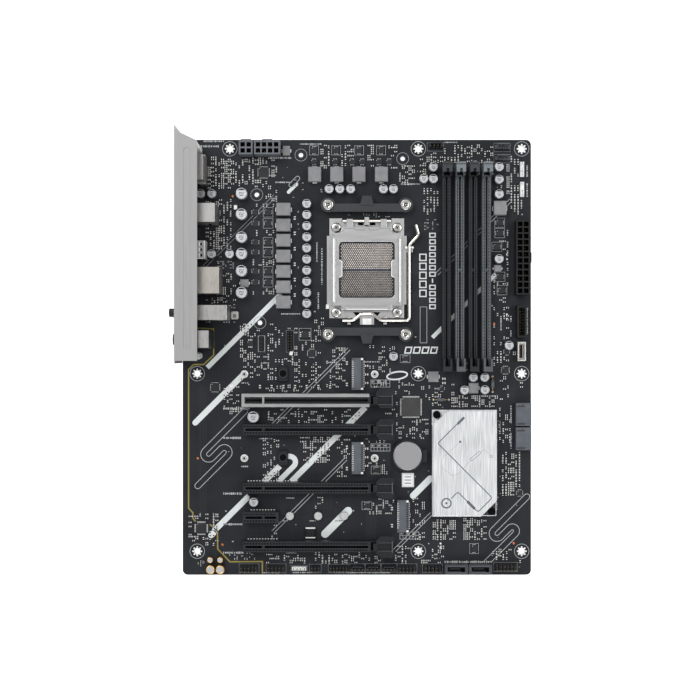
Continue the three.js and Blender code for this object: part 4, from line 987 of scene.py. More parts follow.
def small_parts():
    scatter("chips_rear", [
        (-107, 118, -74, 141, 0.62), (-74, 109, -54, 141, 0.6), (-106, 74, -85, 111, 0.6),
        (-101, 38, -84, 60, 0.5), (-106, 24, -84, 42, 0.35, "0402"), (-98, 62, -84, 72, 0.5, "0402"),
    ], 21)
    scatter("chips_processor_power", [
        (-76, 44, -57, 108, 0.5), (-35, 132, 30, 150, 0.45), (29, 119, 42, 135, 0.6),
        (-44, 117, -36, 126, 0.4, "0402"), (-42, 36, -38, 108, 0.1, "0402"), (-30, 18, -14, 34, 0.3),
        (-10, 98, 26, 101, 0.4, "0402"),
    ], 22)
    scatter("chips_memory", [
        (44, 128, 97, 150, 0.55), (100, 100, 117, 145, 0.75), (95, 38, 108, 92, 0.34),
        (46, 100, 58, 120, 0.6), (95, -10, 112, 36, 0.3), (47, 88, 58, 98, 0.2, "0402"),
    ], 23)
    scatter("chips_middle", [
        (-82, -16, -58, 24, 0.5), (-58, -26, -24, 22, 0.34), (12, -30, 52, -14, 0.42),
        (15, -60, 52, -28, 0.34), (-22, -27, -6, 8, 0.32), (-64, -24, -36, -19, 0.6),
        (8, -12, 30, 14, 0.3), (52, -34, 70, -18, 0.45),
    ], 24)
    scatter("chips_slots", [
        (-63, -46, 5, -36, 0.34), (-66, -86, -54, -56, 0.5), (-40, -74, -18, -55, 0.5),
        (-14, -84, -4, -56, 0.34), (-30, -106, -16, -96, 0.4), (-94, -40, -82, -20, 0.4),
        (8, -82, 26, -73, 0.42), (8, -110, 28, -97, 0.5), (6, -60, 24, -52, 0.3, "0402"),
    ], 25)
    scatter("chips_chipset", [
        (53, -128, 71, -112, 0.72), (74.5, -128, 91, -112, 0.72), (101, -97, 116, -66, 0.72),
        (99, -64, 110, -32, 0.3), (100, -30, 119, -12, 0.2), (66, -35, 100, -26, 0.75),
        (40, -73, 51, -54, 0.25), (36, -128, 50, -98, 0.34),
    ], 26)
    scatter("chips_south", [
        (-118, -132, -96, -108, 0.55), (-66, -144.5, -34, -136.5, 0.42), (-30, -144.5, 24, -136, 0.5),
        (26, -144.5, 62, -130, 0.4), (92, -144, 116, -134, 0.5), (-70, -127, -52, -114, 0.2),
        (-90, -142, -70, -135, 0.3, "0402"), (-112, -148, -106, -138, 0.4, "0402"),
    ], 27)


def bulk_ceramics():
    """Larger ceramic capacitors, the solder pads beside three slots and a wide choke with silver ends."""
    kit = Kit("bulk_ceramics", TIN, CERAMIC, RESISTOR)
    pad_rows = (("pcie_slot_3", -76, 18), ("pcie_slot_4", -76, 11), ("pcie_x1_slot", -73.9, 9))
    for name, first, count in pad_rows:
        for k in range(count):
            kit.block(first + 2 * k, centre(name)[1] + 4.25, 0.9, 0.55, 0, 0.2, 0)
    x, y = -32.5, -122.8
    kit.block(x, y, 6.4, 6.0, 0.05, 2.4, 2, 0.3)
    for side in (-1, 1):
        kit.block(x, y + side * 3.3, 6.8, 1.0, 0, 2.2, 0, 0.15)
    claim(x, y, 7.6, 8.4)
    spots = [(-67.9 + 8.2 * i, -20.6, True) for i in range(7)]
    spots += [(6.8, y, False) for y in (-6, -12, -18, -64, -70, -76)]
    spots += [(-7, y, True) for y in (-4, -19, -63, -78)] + [(24.6, y, True) for y in (-106, -118)]
    spots += [(-43.5, 97.6 - 10.8 * i, True) for i in range(6)] + [(61, y, False) for y in (-15, -18, -21)]
    for x, y, turned in spots:
        if is_free(x, y, 2, 2, 0):
            chip_part(kit, x, y, "0805", 1, turned)
            claim(x, y, 2.4, 2.4)
    kit.done()


# ------------------------------------------------------------------ headers and slots


def pin_header(name, x, y, columns, rows, pitch=2.54, body=BLACK, base=2.5, top=8.6, wall=0.0, missing=()):
    """Square pins in a moulded base, with a back wall on fan headers, in a printed outline."""
    kit = Kit(name, body, DULL_PIN, DIM_INK)
    width, length = columns * pitch, rows * pitch
    for i in range(columns):
        cx = x + (i - (columns - 1) / 2) * pitch
        kit.block(cx, y, pitch - 0.12, length, 0, base, 0, 0.35)
        for j in range(rows):
            if (i, j) in missing:
                continue
            cy = y + (j - (rows - 1) / 2) * pitch
            kit.block(cx, cy, 0.56, 0.56, base - 0.2, top, 1, 0.2)
    if wall:
        kit.block(x, y + math.copysign(length / 2 + 0.5, wall), width * 0.72, 1.0, 0, top - 1, 0, 0.25)
    kit.box(x, y, width + 1.3, length + (3.4 if wall else 1.3), 0.2, slot=2)
    claim(x, y, width + 1.6, length + (3.8 if wall else 1.6))
    kit.done()


def headers():
    pin_header("fan_header_north_1", 101.7, 147, 4, 1, 2.54, SLATE, wall=1)
    pin_header("fan_header_north_2", 101.7, 139.2, 4, 1, 2.54, SLATE, wall=1)
    pin_header("pump_header", 55.1, 147.4, 4, 1, wall=1)
    for i, x in enumerate((0.2, 11.3, 22.5)):
        pin_header(f"fan_header_south_{i + 1}", x, -147.6, 4, 1, wall=1)
    pin_header("audio_header", -75.5, -147.9, 5, 2, missing=((3, 1),))
    pin_header("serial_header", -56.6, -147.9, 5, 2, missing=((4, 0),))
    pin_header("jumper_block", -29.1, -147.9, 3, 2, 2.3)
    pin_header("extension_header", -12.8, -147.9, 6, 2, 2.2)
    pin_header("usb2_header_1", 35.1, -147.9, 5, 2, missing=((4, 1),))
    pin_header("usb2_header_2", 53.0, -147.9, 5, 2, missing=((4, 1),))
    pin_header("front_panel_header", 104.2, -146.9, 6, 2, missing=((0, 1),))
    pin_header("white_header_south", -40.4, -147.6, 4, 1, 2.54, WHITE, base=3.2)
    pin_header("debug_header", -66.8, 9.5, 1, 4)
    pin_header("trusted_header", -46.9, 11.2, 2, 7, 2.0, base=2.0, top=6.0)
    for i, y in enumerate((131.4, 117.4)):
        kit = Kit(f"light_header_{i + 1}", WHITE, TIN)
        kit.block(115.5, y, 2.8, 10.4, 0, 3, 0, 0.3)
        for k in range(4):
            if k != 2:
                kit.block(115.5, y + (k - 1.5) * 2.54, 0.62, 0.62, 2.8, 8.6, 1, 0.2)
        claim(115.5, y, 3.6, 11)
        kit.done()


def header_pins():
    """Pins inside the tall front-panel sockets, which the frame leaves as open shrouds."""
    kit = Kit("shroud_pins", DULL_PIN, BLACK_AND_PAINTED_SHADE)
    x, y = centre("usb3_header")
    for i in range(2):
        for j in range(10):
            if (i, j) != (0, 9):
                kit.block(x + (i - 0.5) * 2, y + (j - 4.5) * 2, 0.5, 0.5, 1.5, 7.6, 0, 0.15)
    x, y = centre("usbc_header")
    kit.block(x, y, 1.1, 9.2, 1.3, 6.2, 1, 0.2)
    for j in range(10):
        for side in (-1, 1):
            kit.block(x + side * 0.58, y + (j - 4.5) * 0.85, 0.1, 0.45, 2, 6.0, 0)
    kit.done()


def power_contacts():
    """Posts seen down the power sockets' cells, over painted shade at each cell's bottom."""
    kit = Kit("power_contacts", BLACK_AND_PAINTED_SHADE, DULL_PIN)
    for name, columns, rows in POWER_SOCKETS:
        x0, y0, _, _, _, z1 = extent(name)
        for i in range(columns):
            for j in range(rows):
                x, y = x0 + 0.6 + 2.1 + 4.2 * i, y0 + 0.6 + 2.1 + 4.2 * j
                # painted shade at the bottom of the cell
                kit.block(x, y, 3.0, 3.0, z1 - 9, z1 - 7.5, 0, 0.2)
                kit.block(x, y, 0.7, 0.7, z1 - 7.6, z1 - 4.4, 1, 0.25)
    kit.done()


def memory_details():
    """Contact windows filled with painted shade, and painted highlights along the memory sockets' rail edges.
    """
    pitch = 2.2
    length = 123.6
    for i in range(1, 5):
        edge = RAIL_EDGE_HIGHLIGHT if i % 2 else PALE_RAIL_HIGHLIGHT
        kit = Kit(f"memory_contacts_{i}", BLACK_AND_PAINTED_SHADE, edge)
        x, _ = centre(f"memory_slot_{i}")
        south = extent(f"memory_slot_{i}")[1] + 9.2
        for side in (-1, 1):
            for k in range(int(length / pitch)):
                # painted shade in a contact window
                kit.block(x + side * 1.62, south + 1.2 + k * pitch, 0.62, 1.35, 7.7, 8.02, 0)
            # painted highlight along a rail edge
            for reach in (0.9, 2.36):
                kit.block(x + side * reach, south + length / 2, 0.16, length, 7.8, 8.015, 1)
        kit.done()


def slot_details():
    """Contact windows on the expansion slots' shoulders filled with painted shade, pale painted highlights
    along their grooves and shoulders, and painted shade and highlights in the latch channels.
    """
    for name in numbered("pcie_slot", 1, 2, 3, 4) + ["pcie_x1_slot"]:
        kit = Kit(name.replace("slot", "contacts"), BLACK_AND_PAINTED_SHADE, RAIL_EDGE_HIGHLIGHT)
        x0 = extent(name)[0]
        y = centre(name)[1]
        length = 24.9 if name == "pcie_x1_slot" else 88.7
        for k in range(int((length - 3) / 2.0) + 1):
            x = x0 + 1.5 + 2.0 * k
            for side in (-1, 1):
                # painted shade in the contact windows
                if name != "pcie_slot_1":
                    kit.block(x, y + side * 2.3, 1.05, 1.2, 10.8, 11.28, 0)
                elif 2 < x - x0 < 86:
                    kit.block(x, y + side * 1.75, 0.9, 0.7, 10.8, 11.28, 0)
        if name != "pcie_slot_1":
            # pale lines along the groove and shoulder edges: painted highlights
            for reach in (-3.0, -1.2, 1.2, 3.0):
                kit.block(x0 + length / 2, y + reach, length - 2, 0.13, 10.9, 11.275, 1)
        kit.done()
    for i in range(1, 5):
        kit = Kit(f"pcie_latch_channel_{i}", COAL, SLATE)
        outer = extent(f"pcie_latch_{i}")[3]
        y = centre(f"pcie_slot_{i}")[1]
        # painted shade sheet in the latch channel
        kit.sheet(moved(rectangle(8.8, 5.0), outer - 6.5, y), 10.13)
        # slate lines along the channel's edges and end: painted highlights
        for side in (-1, 1):
            kit.block(outer - 6.4, y + side * 2.8, 9.2, 0.25, 11.0, 11.22, 1)
        kit.block(outer - 1.3, y, 0.5, 8, 11.0, 11.22, 1)
        kit.done(f"pcie_latch_{i}_body")
    lift = Kit("slot_1_key_cover", ARMOR)
    x0 = extent("pcie_slot_1")[0]
    y = centre("pcie_slot_1")[1]
    lift.block(x0 + 14.2, y, 1.5, 4.8, 10.9, 11.9, 0, 0.15)
    lift.done()


def drive_socket_details():
    """Contacts of the drive sockets, stand-offs, support pads and nuts."""
    pins = Kit("drive_socket_contacts", TIN, BLACK_AND_PAINTED_SHADE)
    for name in numbered("m2_socket", 1, 2, 3):
        x0, y0, _, x1, y1, _ = extent(name)
        for k in range(15):
            y = y0 + 2.2 + 1.28 * k
            pins.block(x0 + 0.9, y, 1.5, 0.5, 1.75, 1.95, 0)
            pins.block(x1 + 0.45, y, 0.9, 0.5, 0, 0.25, 0, 0.05)
            # dark cells on the socket's top: painted shade in its openings
            pins.block(x1 - 1.1, y, 1.3, 0.55, 4.0, 4.22, 1)
        for y in (y0 + 0.8, y1 - 0.8):
            pins.block((x0 + x1) / 2 + 3.1, y, 1.6, 1.4, 3.9, 4.3, 0, 0.1)
    pins.done()
    rings = Kit("drive_standoffs", TIN, BLACK_AND_PAINTED_SHADE, ZINC)
    for x, y in ((-78.8, -11.8), (-78.8, -70.7), (12.5, -11.9), (12.5, -70.7)):
        rings.drum(x, y, [(2.7, 0), (2.7, 0.08), (2.5, 0.1)], (0,), 24)
        rings.drum(x, y, [(1.7, 0.1), (1.7, 2.2), (1.4, 2.4)], (2,), 18)
        # painted shade in the stand-off's screw hole
        rings.drum(x, y, [(0.8, 2.4), (0.8, 2.42)], (1,), 12)
        claim(x, y, 5.6, 5.6)
    for x, y in ((-46.9, -111), (-27.1, -111), (-9, -111)):
        rings.drum(x, y, [(2.9, 0), (2.9, 2.6), (2.6, 2.9), (1.5, 2.9), (1.3, 2.8)], (2,), 24)
        claim(x, y, 6.4, 6.4)
    rings.done()
    pads = Kit("drive_support_pads", BLACK, BLACK_AND_PAINTED_SHADE, LATCH_GREY)
    for x, y in ((-51.6, -11.7), (-51.6, -70.4)):
        pads.block(x, y, 7, 11, 0, 2.4, 0, 0.5, corner=1.2)
        foot = [(3.1, 2.0), (3.1, 3.0), (2.9, 3.1), (2.6, 3.1), (2.5, 2.8)]
        pads.drum(x, y + 0.4, foot, (2, 2, 2, 2), 28, 1)
        claim(x, y, 7.8, 11.8)
    pads.done()


# ------------------------------------------------------------------ processor socket


def contact_field():
    """The socket's spring contacts: two fields of tiny leaning blades either side of a gap, the lower field
    in a darker copy of the blade colour as painted shade.
    """
    kit = Kit("socket_contacts", BLADE, BLADE_SHADED, CARRIER_RIM)
    cx, cy = centre("socket_housing")
    floor = 2.62
    pitch_x, pitch_y = 1.42, 1.2
    for j in range(33):
        for i in range(28):
            x = cx + (i - 13.5) * pitch_x + (pitch_x / 2 if j % 2 else 0)
            y = cy + (j - 16) * pitch_y
            if abs(y - cy) < 1.0 or abs(x - cx) > 18.2 or abs(y - cy) > 18.4:
                continue
            first = len(kit.verts)
            kit.verts += [
                (x - 0.52, y - 0.3, floor + 0.1), (x + 0.3, y - 0.5, floor + 0.1),
                (x + 0.52, y + 0.26, floor + 0.7), (x - 0.24, y + 0.5, floor + 0.7),
            ]
            # the lower field takes the darker blade copy, as painted shade
            kit.face((first, first + 1, first + 2, first + 3), 0 if y > cy else 1)
    kit.block(cx, cy, 37.8, 1.2, floor, floor + 0.12, 2)
    for side in (-1, 1):
        kit.block(cx, cy + side * 20.0, 42, 2.4, floor, floor + 0.5, 2, 0.1)
        kit.block(cx + side * 20.1, cy, 1.8, 37.5, floor, floor + 0.5, 2, 0.1)
    kit.done()


def socket_screws():
    """The four screws that hold the socket's frame to its backplate."""
    kit = Kit("socket_screws", BRIGHT, LATCH_GREY)
    cx, cy = centre("socket_housing")
    for sx in (-1, 1):
        for sy in (-1, 1):
            x, y = cx + sx * 21.3, cy + sy * 29.7
            screw_head(kit, x, y, 1.2, 3.5)
            kit.rod((x, y, -3.2), (x, y, 1.3), 1.4, 0, 12)
    kit.done()


def screw_head(kit, x, y, seat, r):
    """A pan head with a cross recess, standing on a washer face."""
    profile = [(r, 0), (r, 0.7), (r * 0.93, 1.15), (r * 0.72, 1.45), (r * 0.5, 1.5)]
    kit.drum(x, y, [(reach, seat + up) for reach, up in profile], sides=28)
    # the cross recess drawn as dark bars: painted shade
    for turn in (35, 125):
        kit.block(x, y, r * 0.8, r * 0.17, seat + 1.35, seat + 1.54, 1, turn=turn)


def cooler_screw_recess():
    """Dark star recesses in the cooler bracket screws, as painted shade."""
    kit = Kit("bracket_screw_recesses", BLACK_AND_PAINTED_SHADE, STEEL)
    for name in numbered("bracket_screw", 1, 2, 3, 4):
        x, y = centre(name)
        top = extent(name)[5]
        star = zip((1.1, 1.75) * 6, turns(12))
        kit.sheet([(x + r * math.cos(t), y + r * math.sin(t)) for r, t in star], top - 1.05)
        kit.drum(x, y, [(0.7, top - 1.1), (0.7, top - 0.5), (0.5, top - 0.4)], (1,), 10)
    kit.done()


def plate_details():
    """The load plate's ribs and pressed edges as painted highlight and painted shade lines, the domes beside
    its lever in painted-highlight white, and painted shade in the frame's openings with a painted highlight
    on its front lip.
    """
    kit = Kit("load_plate_pressings", PAINTED_HIGHLIGHT, PAINTED_EDGE_SHADE)
    cx, cy = centre("socket_housing")
    top = extent("socket_load_plate")[5] - 1.0
    for side in (-1, 1):
        x = cx + side * 23.05
        # painted highlight along each rib's crest
        kit.ribbon([(x, cy - 22.4), (x, cy + 21.4)], 0.8, top + 1.02, 0)
        # painted shade line just inboard of each rib
        kit.block(cx + side * 21.85, cy, 0.3, 43, top - 0.1, top + 0.02, 1)
        # painted highlight round each window tab
        tab = [(side * 19.2, 6.8), (side * 17.3, 5.8), (side * 17.3, -4.4), (side * 19.2, -5.4)]
        kit.ribbon([(cx + px, cy + py) for px, py in tab], 0.4, top + 0.02, 0)
        # painted shade along the plate's pressed step
        step = [(17.2, 26.4), (15.4, 28.7), (9, 28.9), (7.4, 27.6), (2.5, 27.6), (1, 28.9)]
        kit.ribbon([(cx + side * px, cy + py) for px, py in step], 0.35, top + 0.02, 1)
    # painted shade along the plate's front lip
    lip = [(-14, -25.3), (-9, -26.4), (9, -26.4), (14, -25.3)]
    kit.ribbon([(cx + px, cy + py) for px, py in lip], 0.6, top + 0.02, 1)
    kit.done("socket_load_plate_body")
    # the catch domes take the painted-highlight white
    domes = Kit("lever_catch_domes", PAINTED_HIGHLIGHT)
    for side in (-1, 1):
        dome = [(1.0, 1.0), (1.0, 3.3), (0.8, 3.8), (0.4, 4.05)]
        domes.drum(cx + 29.7 + side * 2.2, cy + 15.6, dome, sides=18)
    domes.done()
    openings = Kit("socket_frame_openings", BLACK_AND_PAINTED_SHADE, PAINTED_HIGHLIGHT)
    floor = 1.24
    # painted shade sheets in the frame's openings
    for side in (-1, 1):
        openings.sheet(moved(rectangle(3.9, 2.0), cx + side * 4.2, cy + 32.3), floor)
        wedge = [(side * 9.6, -29.4), (side * 4.6, -29.4), (side * 6.9, -32.8)]
        wedge = [(cx + px, cy + py) for px, py in (wedge if side < 0 else wedge[::-1])]
        openings.sheet(wedge[::-1], floor)
    # painted highlight on the frame's front lip
    openings.sheet(moved(rectangle(6.2, 4.2, 0.5), cx + 0.2, cy - 36.0), floor, 1)
    openings.done()


# ------------------------------------------------------------------ heatsink and battery


def dotted(kit, points, x0, y0, z, pitch=1.15):
    """Small round dots at even steps along a broken line."""
    for a, b in zip(points, points[1:]):
        count = max(1, round(math.dist(a, b) / pitch))
        for k in range(count):
            x = a[0] + (b[0] - a[0]) * k / count
            y = a[1] + (b[1] - a[1]) * k / count
            kit.sheet(moved(circle(0.22, 8), x0 + x, y0 + y), z)


def heatsink_art():
    """Plain grey line work on the heatsink, and its two push pins."""
    x0, y0, _, x1, y1, top = extent("chipset_heatsink")
    kit = Kit("heatsink_line_work", printed("heatsink_ink", rgb(92, 97, 103)))
    z = top + 0.02
    start = (x0 + 17.1, y1 - 9.9)
    line = walk(start, DIAGONAL, 17.4, (1.4, 90), 50.5, (1.6, -90), 10.8, (1.6, -90), 2.2)
    kit.ribbon(line, 0.65, z)
    kit.sheet(capsule(walk((x0 + 21.7, y1 - 5.6), DIAGONAL, 5.4), 1.7)[::-1], z)
    pill = walk(line[-1], 135, 6.0)
    kit.sheet(capsule(pill, 1.9)[::-1], z)
    tail = walk(pill[-1], 135, 8.6, (1.4, 90), 5.2)
    kit.ribbon(tail, 0.65, z)
    ring = (x0 + 9.8, y0 + 9.4)
    kit.ring(*ring, 3.2, 1.0, z, sides=32)
    kit.sheet(moved(circle(0.8, 16), *ring), z)
    kit.sheet(moved(circle(0.8, 16), x0 + 19.4, y1 - 22.1), z)
    long_way = [(19.4, -22.1), (6.3, -34), (6.3, -39.7), (14.1, -45.6), (18.6, -44), (26.8, -34.8)]
    for way in (long_way, [(33.2, -29.2), (36, -27.8), (40.4, -31)]):
        dotted(kit, way, x0, y1, z)
    hollow = capsule([(x0 + 27.4, y1 - 34.3), (x0 + 32.6, y1 - 29.8)], 1.9)
    kit.ribbon(hollow, 0.3, z, closed=True)
    kit.ring(x0 + 40.8, y1 - 32.2, 0.9, 0.3, z, sides=16)
    kit.done()
    corner = Kit("heatsink_corner_shade", LATCH_GREY)
    corner.sheet([(x1 - 9.6, y0 + 0.5), (x1 - 0.5, y0 + 0.5), (x1 - 0.5, y0 + 9.6)], top - 4.57)
    corner.done()
    pins = Kit("heatsink_push_pins", BLACK_AND_PAINTED_SHADE, BLACK)
    for x, y in ((x0 + 3.4, y1 - 3.4), (x1 - 3.4, y0 + 3.4)):
        base = top - 4.6
        pins.drum(x, y, [(1.3, -3.4), (1.3, base)], (1,), 12)
        cap = [(2.7, 0), (2.7, 1.6), (2.4, 1.9), (1.2, 1.9), (1.0, 1.3)]
        pins.drum(x, y, [(r, base + up) for r, up in cap], (0,), 24)
    pins.done()


def upright_drive_edge_highlights():
    """Slate lines round the mouths of the two upright drive connectors: painted highlights on the mouths'
    edges.
    """
    kit = Kit("upright_drive_edge_highlights", SLATE)
    for name in numbered("sata_port_lower", 1, 2):
        x, y = centre(name)
        top = extent(name)[5]
        kit.box(x, y - 0.2, 13.4, 4.4, 0.5, top + 0.01, corner=0.6)
        kit.box(x, y, 15.6, 5.8, 0.35, top + 0.01, corner=0.4)
    kit.done()


def flat_drive_marks():
    """Latch notches and the parting line on the two flat drive connectors, drawn dark as painted shade."""
    kit = Kit("flat_drive_marks", LATCH_GREY, GREY_EPOXY)
    for name in numbered("sata_port_right", 1, 2):
        x0, y0, _, x1, y1, top = extent(name)
        kit.block(x0 + 3.4, y1 - 2.2, 5.6, 1.2, top - 0.2, top + 0.01, 1)
        kit.block(x0 + 4.4, y1 - 1.6, 0.9, 2.2, top - 0.2, top + 0.015, 0)
        kit.block(x0 + 3.4, y0 + 1.4, 5.6, 1.3, top - 0.2, top + 0.01, 1)
        kit.block(x0 + 8.4, y0 + 1.6, 4.2, 0.22, top - 0.2, top + 0.01, 0)
    kit.done()


def battery_details():
    """The spring clip over the coin cell's edge."""
    kit = Kit("battery_clip", BLACK)
    x, y = centre("battery_cell")
    top = extent("battery_cell")[5]
    kit.block(x + 11.4, y, 2.2, 4.4, 1.0, top, 0, 0.2)
    kit.done()


# ------------------------------------------------------------------ rear connectors


def port_tongues():
    """Coloured tongues with their contacts inside the USB and video mouths."""
    kit = Kit("port_tongues", BLACK_AND_PAINTED_SHADE, BLUE, GOLD)
    stacks = [
        ("usb_stack_quad", 4, 4.2, 7.2, 1),
        ("usb_stack_double", 2, 4.4, 7.4, 0),
        ("lan_usb_stack", 2, 4.6, 7.4, 1),
    ]
    for name, count, first, pitch, slot in stacks:
        x0 = extent(name)[0]
        y = centre(name)[1]
        for i in range(count):
            z = first + i * pitch
            kit.block(x0 + 5.2, y, 7.8, 9.9, z - 0.15, z + 1.85, slot, 0.2)
            kit.block(x0 + 8.9, y, 0.3, 11.4, z - 2.1, z + 2.1, 0)
            for k in range(4):
                kit.block(x0 + 4.4, y + (k - 1.5) * 2.2, 5.6, 0.9, z - 0.2, z - 0.1, 2)
    x0 = extent("video_port_stack")[0]
    y = centre("video_port_stack")[1]
    for z, width in ((7, 12.9), (21, 11.3)):
        kit.block(x0 + 5, y, 6.2, width, z - 0.75, z + 0.75, 0, 0.15)
        kit.block(x0 + 7.9, y, 0.3, width + 2.6, z - 2.0, z + 2.0, 0)
    kit.done()


def network_port():
    """Gold contacts, a dark lining and two indicator windows in the network port."""
    kit = Kit("network_port_lining", BLACK_AND_PAINTED_SHADE, GOLD, GREEN)
    x0 = extent("lan_usb_stack")[0]
    y = centre("lan_usb_stack")[1]
    low, high = 16.6, 27.6
    kit.block(x0 + 11.3, y, 0.3, 11.6, low + 0.1, high - 0.1, 0)
    kit.block(x0 + 5.9, y - 5.8, 10.8, 0.15, low + 0.1, high - 0.1, 0)
    kit.block(x0 + 5.9, y + 5.8, 10.8, 0.15, low + 0.1, high - 0.1, 0)
    for k in range(8):
        py = y + (k - 3.5) * 1.02
        kit.rod((x0 + 2.6, py, high - 0.4), (x0 + 11, py, high - 3.4), 0.22, 1, 6)
    for side in (-1, 1):
        kit.block(x0 - 0.02, y + side * 6.9, 0.2, 2.2, high - 1.4, high + 0.6, 2)
    kit.done()


def audio_rings():
    """The coloured collars of the three audio jacks and the seam across the stack."""
    x0, y0, _, x1, y1, z1 = extent("audio_jack_stack")
    y = (y0 + y1) / 2
    kit = Kit("audio_collars", PINK, GREEN, BLUE, SHELL, BLACK)
    for i in range(3):
        z = 6.2 + 11.4 * i
        outer = [(x0 - 0.15, y + 3.5 * math.cos(t), z + 3.5 * math.sin(t)) for t in turns(24)]
        inner = [(x0 - 0.15, y + 1.8 * math.cos(t), z + 1.8 * math.sin(t)) for t in turns(24)]
        ring_face(kit, outer, inner, i)
    kit.block((x0 + x1) / 2 + 4.6, y, 0.25, y1 - y0 - 0.6, z1, z1 + 0.08, 4)
    kit.block((x0 + x1) / 2 + 6.5, y + 0.2, 11.2, y1 - y0 - 0.8, z1, z1 + 0.06, 3)
    kit.done()


def ring_face(kit, outer, inner, slot):
    first, n = len(kit.verts), len(outer)
    kit.verts += outer + inner
    for k in range(n):
        j = (k + 1) % n
        kit.face((first + k, first + n + k, first + n + j, first + j), slot)


def antenna_details():
    """Threads and a gold centre on each aerial jack."""
    kit = Kit("antenna_threads", BLACK, GOLD)
    for name in numbered("antenna_jack", 1, 2):
        x0, y0, z0, x1, y1, z1 = extent(name)
        y, z = (y0 + y1) / 2, (z0 + z1) / 2
        kit.rod((x0 + 0.2, y, z), (x0 + 2.6, y, z), 0.55, 1)
        for k in range(4):
            kit.rod((x0 + 0.5 + k * 0.9, y, z), (x0 + 0.9 + k * 0.9, y, z), 2.97, 0, 18)
    kit.done()


def shield_details():
    """The screws on the shield's flange, the clip at the module's end, folds on the port shells with painted
    shade in their cut-outs, and on the short USB stack painted shade in its spring holes and painted
    highlights on its springs and rim.
    """
    kit = Kit("shield_screws", STEEL, BLACK_AND_PAINTED_SHADE)
    top = extent("io_shield")[5]
    for name in ("shield_post_1", "shield_post_2"):
        x, y = centre(name)
        kit.drum(x, y, [(2.3, top - 1.2), (2.3, top - 0.45), (2.1, top - 0.02)], sides=24)
        # the cross recess drawn as dark bars: painted shade
        for turn in (20, 110):
            kit.block(x, y, 2.2, 0.5, top - 0.1, top - 0.005, 1, turn=turn)
    kit.done()
    clip = Kit("module_clip", CLEAR, CERAMIC)
    x0, y0, _, x1, _, _ = extent("wifi_module")
    clip.block(x1 + 3.1, y0 + 3.8, 5.4, 5.6, 0, 4.4, 0, 0.6, corner=1.2)
    clip.block(x1 + 3.3, y0 + 3.4, 2.2, 2.4, 4.4, 4.7, 1, 0.2)
    claim(x1 + 3, y0 + 3.8, 7, 6.4)
    clip.done()
    folds = Kit("port_shell_folds", SHELL, BLACK_AND_PAINTED_SHADE, PAINTED_HIGHLIGHT)
    for name in ("video_port_stack", "usb_stack_quad", "usb_stack_double", "lan_usb_stack", "wifi_module"):
        x0, y0, _, x1, y1, z1 = extent(name)
        for side in (y0, y1):
            folds.block(x1 - 5, side, 3.4, 0.3, 3, z1 * 0.6, 0, 0.1)
            # painted shade in the fold's cut-out
            folds.block(x1 - 5, side, 2.0, 0.34, 3.6, z1 * 0.6 - 0.8, 1)
    x0, y0, _, x1, y1, z1 = extent("usb_stack_double")
    for y in (y0 + 2.6, (y0 + y1) / 2, y1 - 2.6):
        # painted shade in a spring hole
        folds.block(x1 - 2.8, y, 1.5, 1.9, z1 - 0.05, z1 + 0.04, 1, corner=0.6)
        # painted highlight on the spring
        folds.block(x1 - 3.9, y, 0.9, 2.6, z1 - 0.05, z1 + 0.12, 2)
    # painted highlights along the east and south rims
    folds.block(x1 - 0.5, (y0 + y1) / 2, 0.7, y1 - y0 - 0.8, z1 - 0.05, z1 + 0.05, 2)
    folds.block(x1 - 4.5, y0 + 0.5, 8.2, 0.6, z1 - 0.05, z1 + 0.05, 2)
    folds.done()


# ------------------------------------------------------------------ underside


def solder_joints():
    """The soldered tails of the large slots, the power sockets, the rear port stacks and six pin headers."""
    kit = Kit("solder_joints", TIN)

    def joint(x, y, r=0.62):
        profile = [(r * 0.3, -THICK - 1.25), (r * 0.55, -THICK - 0.7), (r, -THICK - 0.12), (r * 1.1, -THICK)]
        kit.drum(x, y, profile, sides=8)

    for name in numbered("pcie_slot", 1, 2, 3, 4):
        x0, y = extent(name)[0], centre(name)[1]
        for k in range(41):
            for side in (-1, 1):
                joint(x0 + 3.4 + 2.0 * k, y + side * 2.0, 0.5)
    for i in range(1, 5):
        x, south = centre(f"memory_slot_{i}")[0], extent(f"memory_slot_{i}")[1] + 12
        for k in range(60):
            for side in (-1, 1):
                joint(x + side * 1.6, south + 2.05 * k, 0.45)
    for name, columns, rows in POWER_SOCKETS:
        x0, y0 = extent(name)[:2]
        for i in range(columns):
            for j in range(rows):
                if (i, j) not in ((0, 0), (columns - 1, rows - 1)):
                    joint(x0 + 2.7 + 4.2 * i, y0 + 2.7 + 4.2 * j, 0.95)
    stacks = ("video_port_stack", "usb_stack_quad", "usb_stack_double", "lan_usb_stack", "audio_jack_stack")
    for name in stacks:
        x0, y0, _, x1, y1, _ = extent(name)
        for x in (x1 - 4, x1 - 6.5, x1 - 9):
            for k in range(4):
                joint(x, y0 + 2.6 + (y1 - y0 - 5.2) * k / 3, 0.6)
    for x, y, columns, rows in ((-75.5, -147.9, 5, 2), (-56.6, -147.9, 5, 2), (35.1, -147.9, 5, 2),
                                (53, -147.9, 5, 2),
                                (104.2, -146.9, 6, 2), (-12.8, -147.9, 6, 2)):
        for i in range(columns):
            for j in range(rows):
                joint(x + (i - (columns - 1) / 2) * 2.54, y + (j - (rows - 1) / 2) * 2.54)
    kit.done()


def underside_print():
    """Printed outlines and pads on the underside."""
    kit = Kit("underside_print", FINE_INK, TIN)
    z = -THICK - 0.02
    for x, y in MOUNT_HOLES:
        kit.ribbon(moved(circle(5.1, 30), x, y)[::-1], 0.28, z, closed=True)
        kit.ribbon(moved(circle(2.9, 24), x, y)[::-1], 1.5, z, 1, closed=True)
    for start, length in (((60, -20), 60), ((-20, -40), 80), ((-60, 120), 40)):
        kit.ribbon(walk(start, DIAGONAL, length)[::-1], 3.4, z)
    kit.done()


# ------------------------------------------------------------------ studio


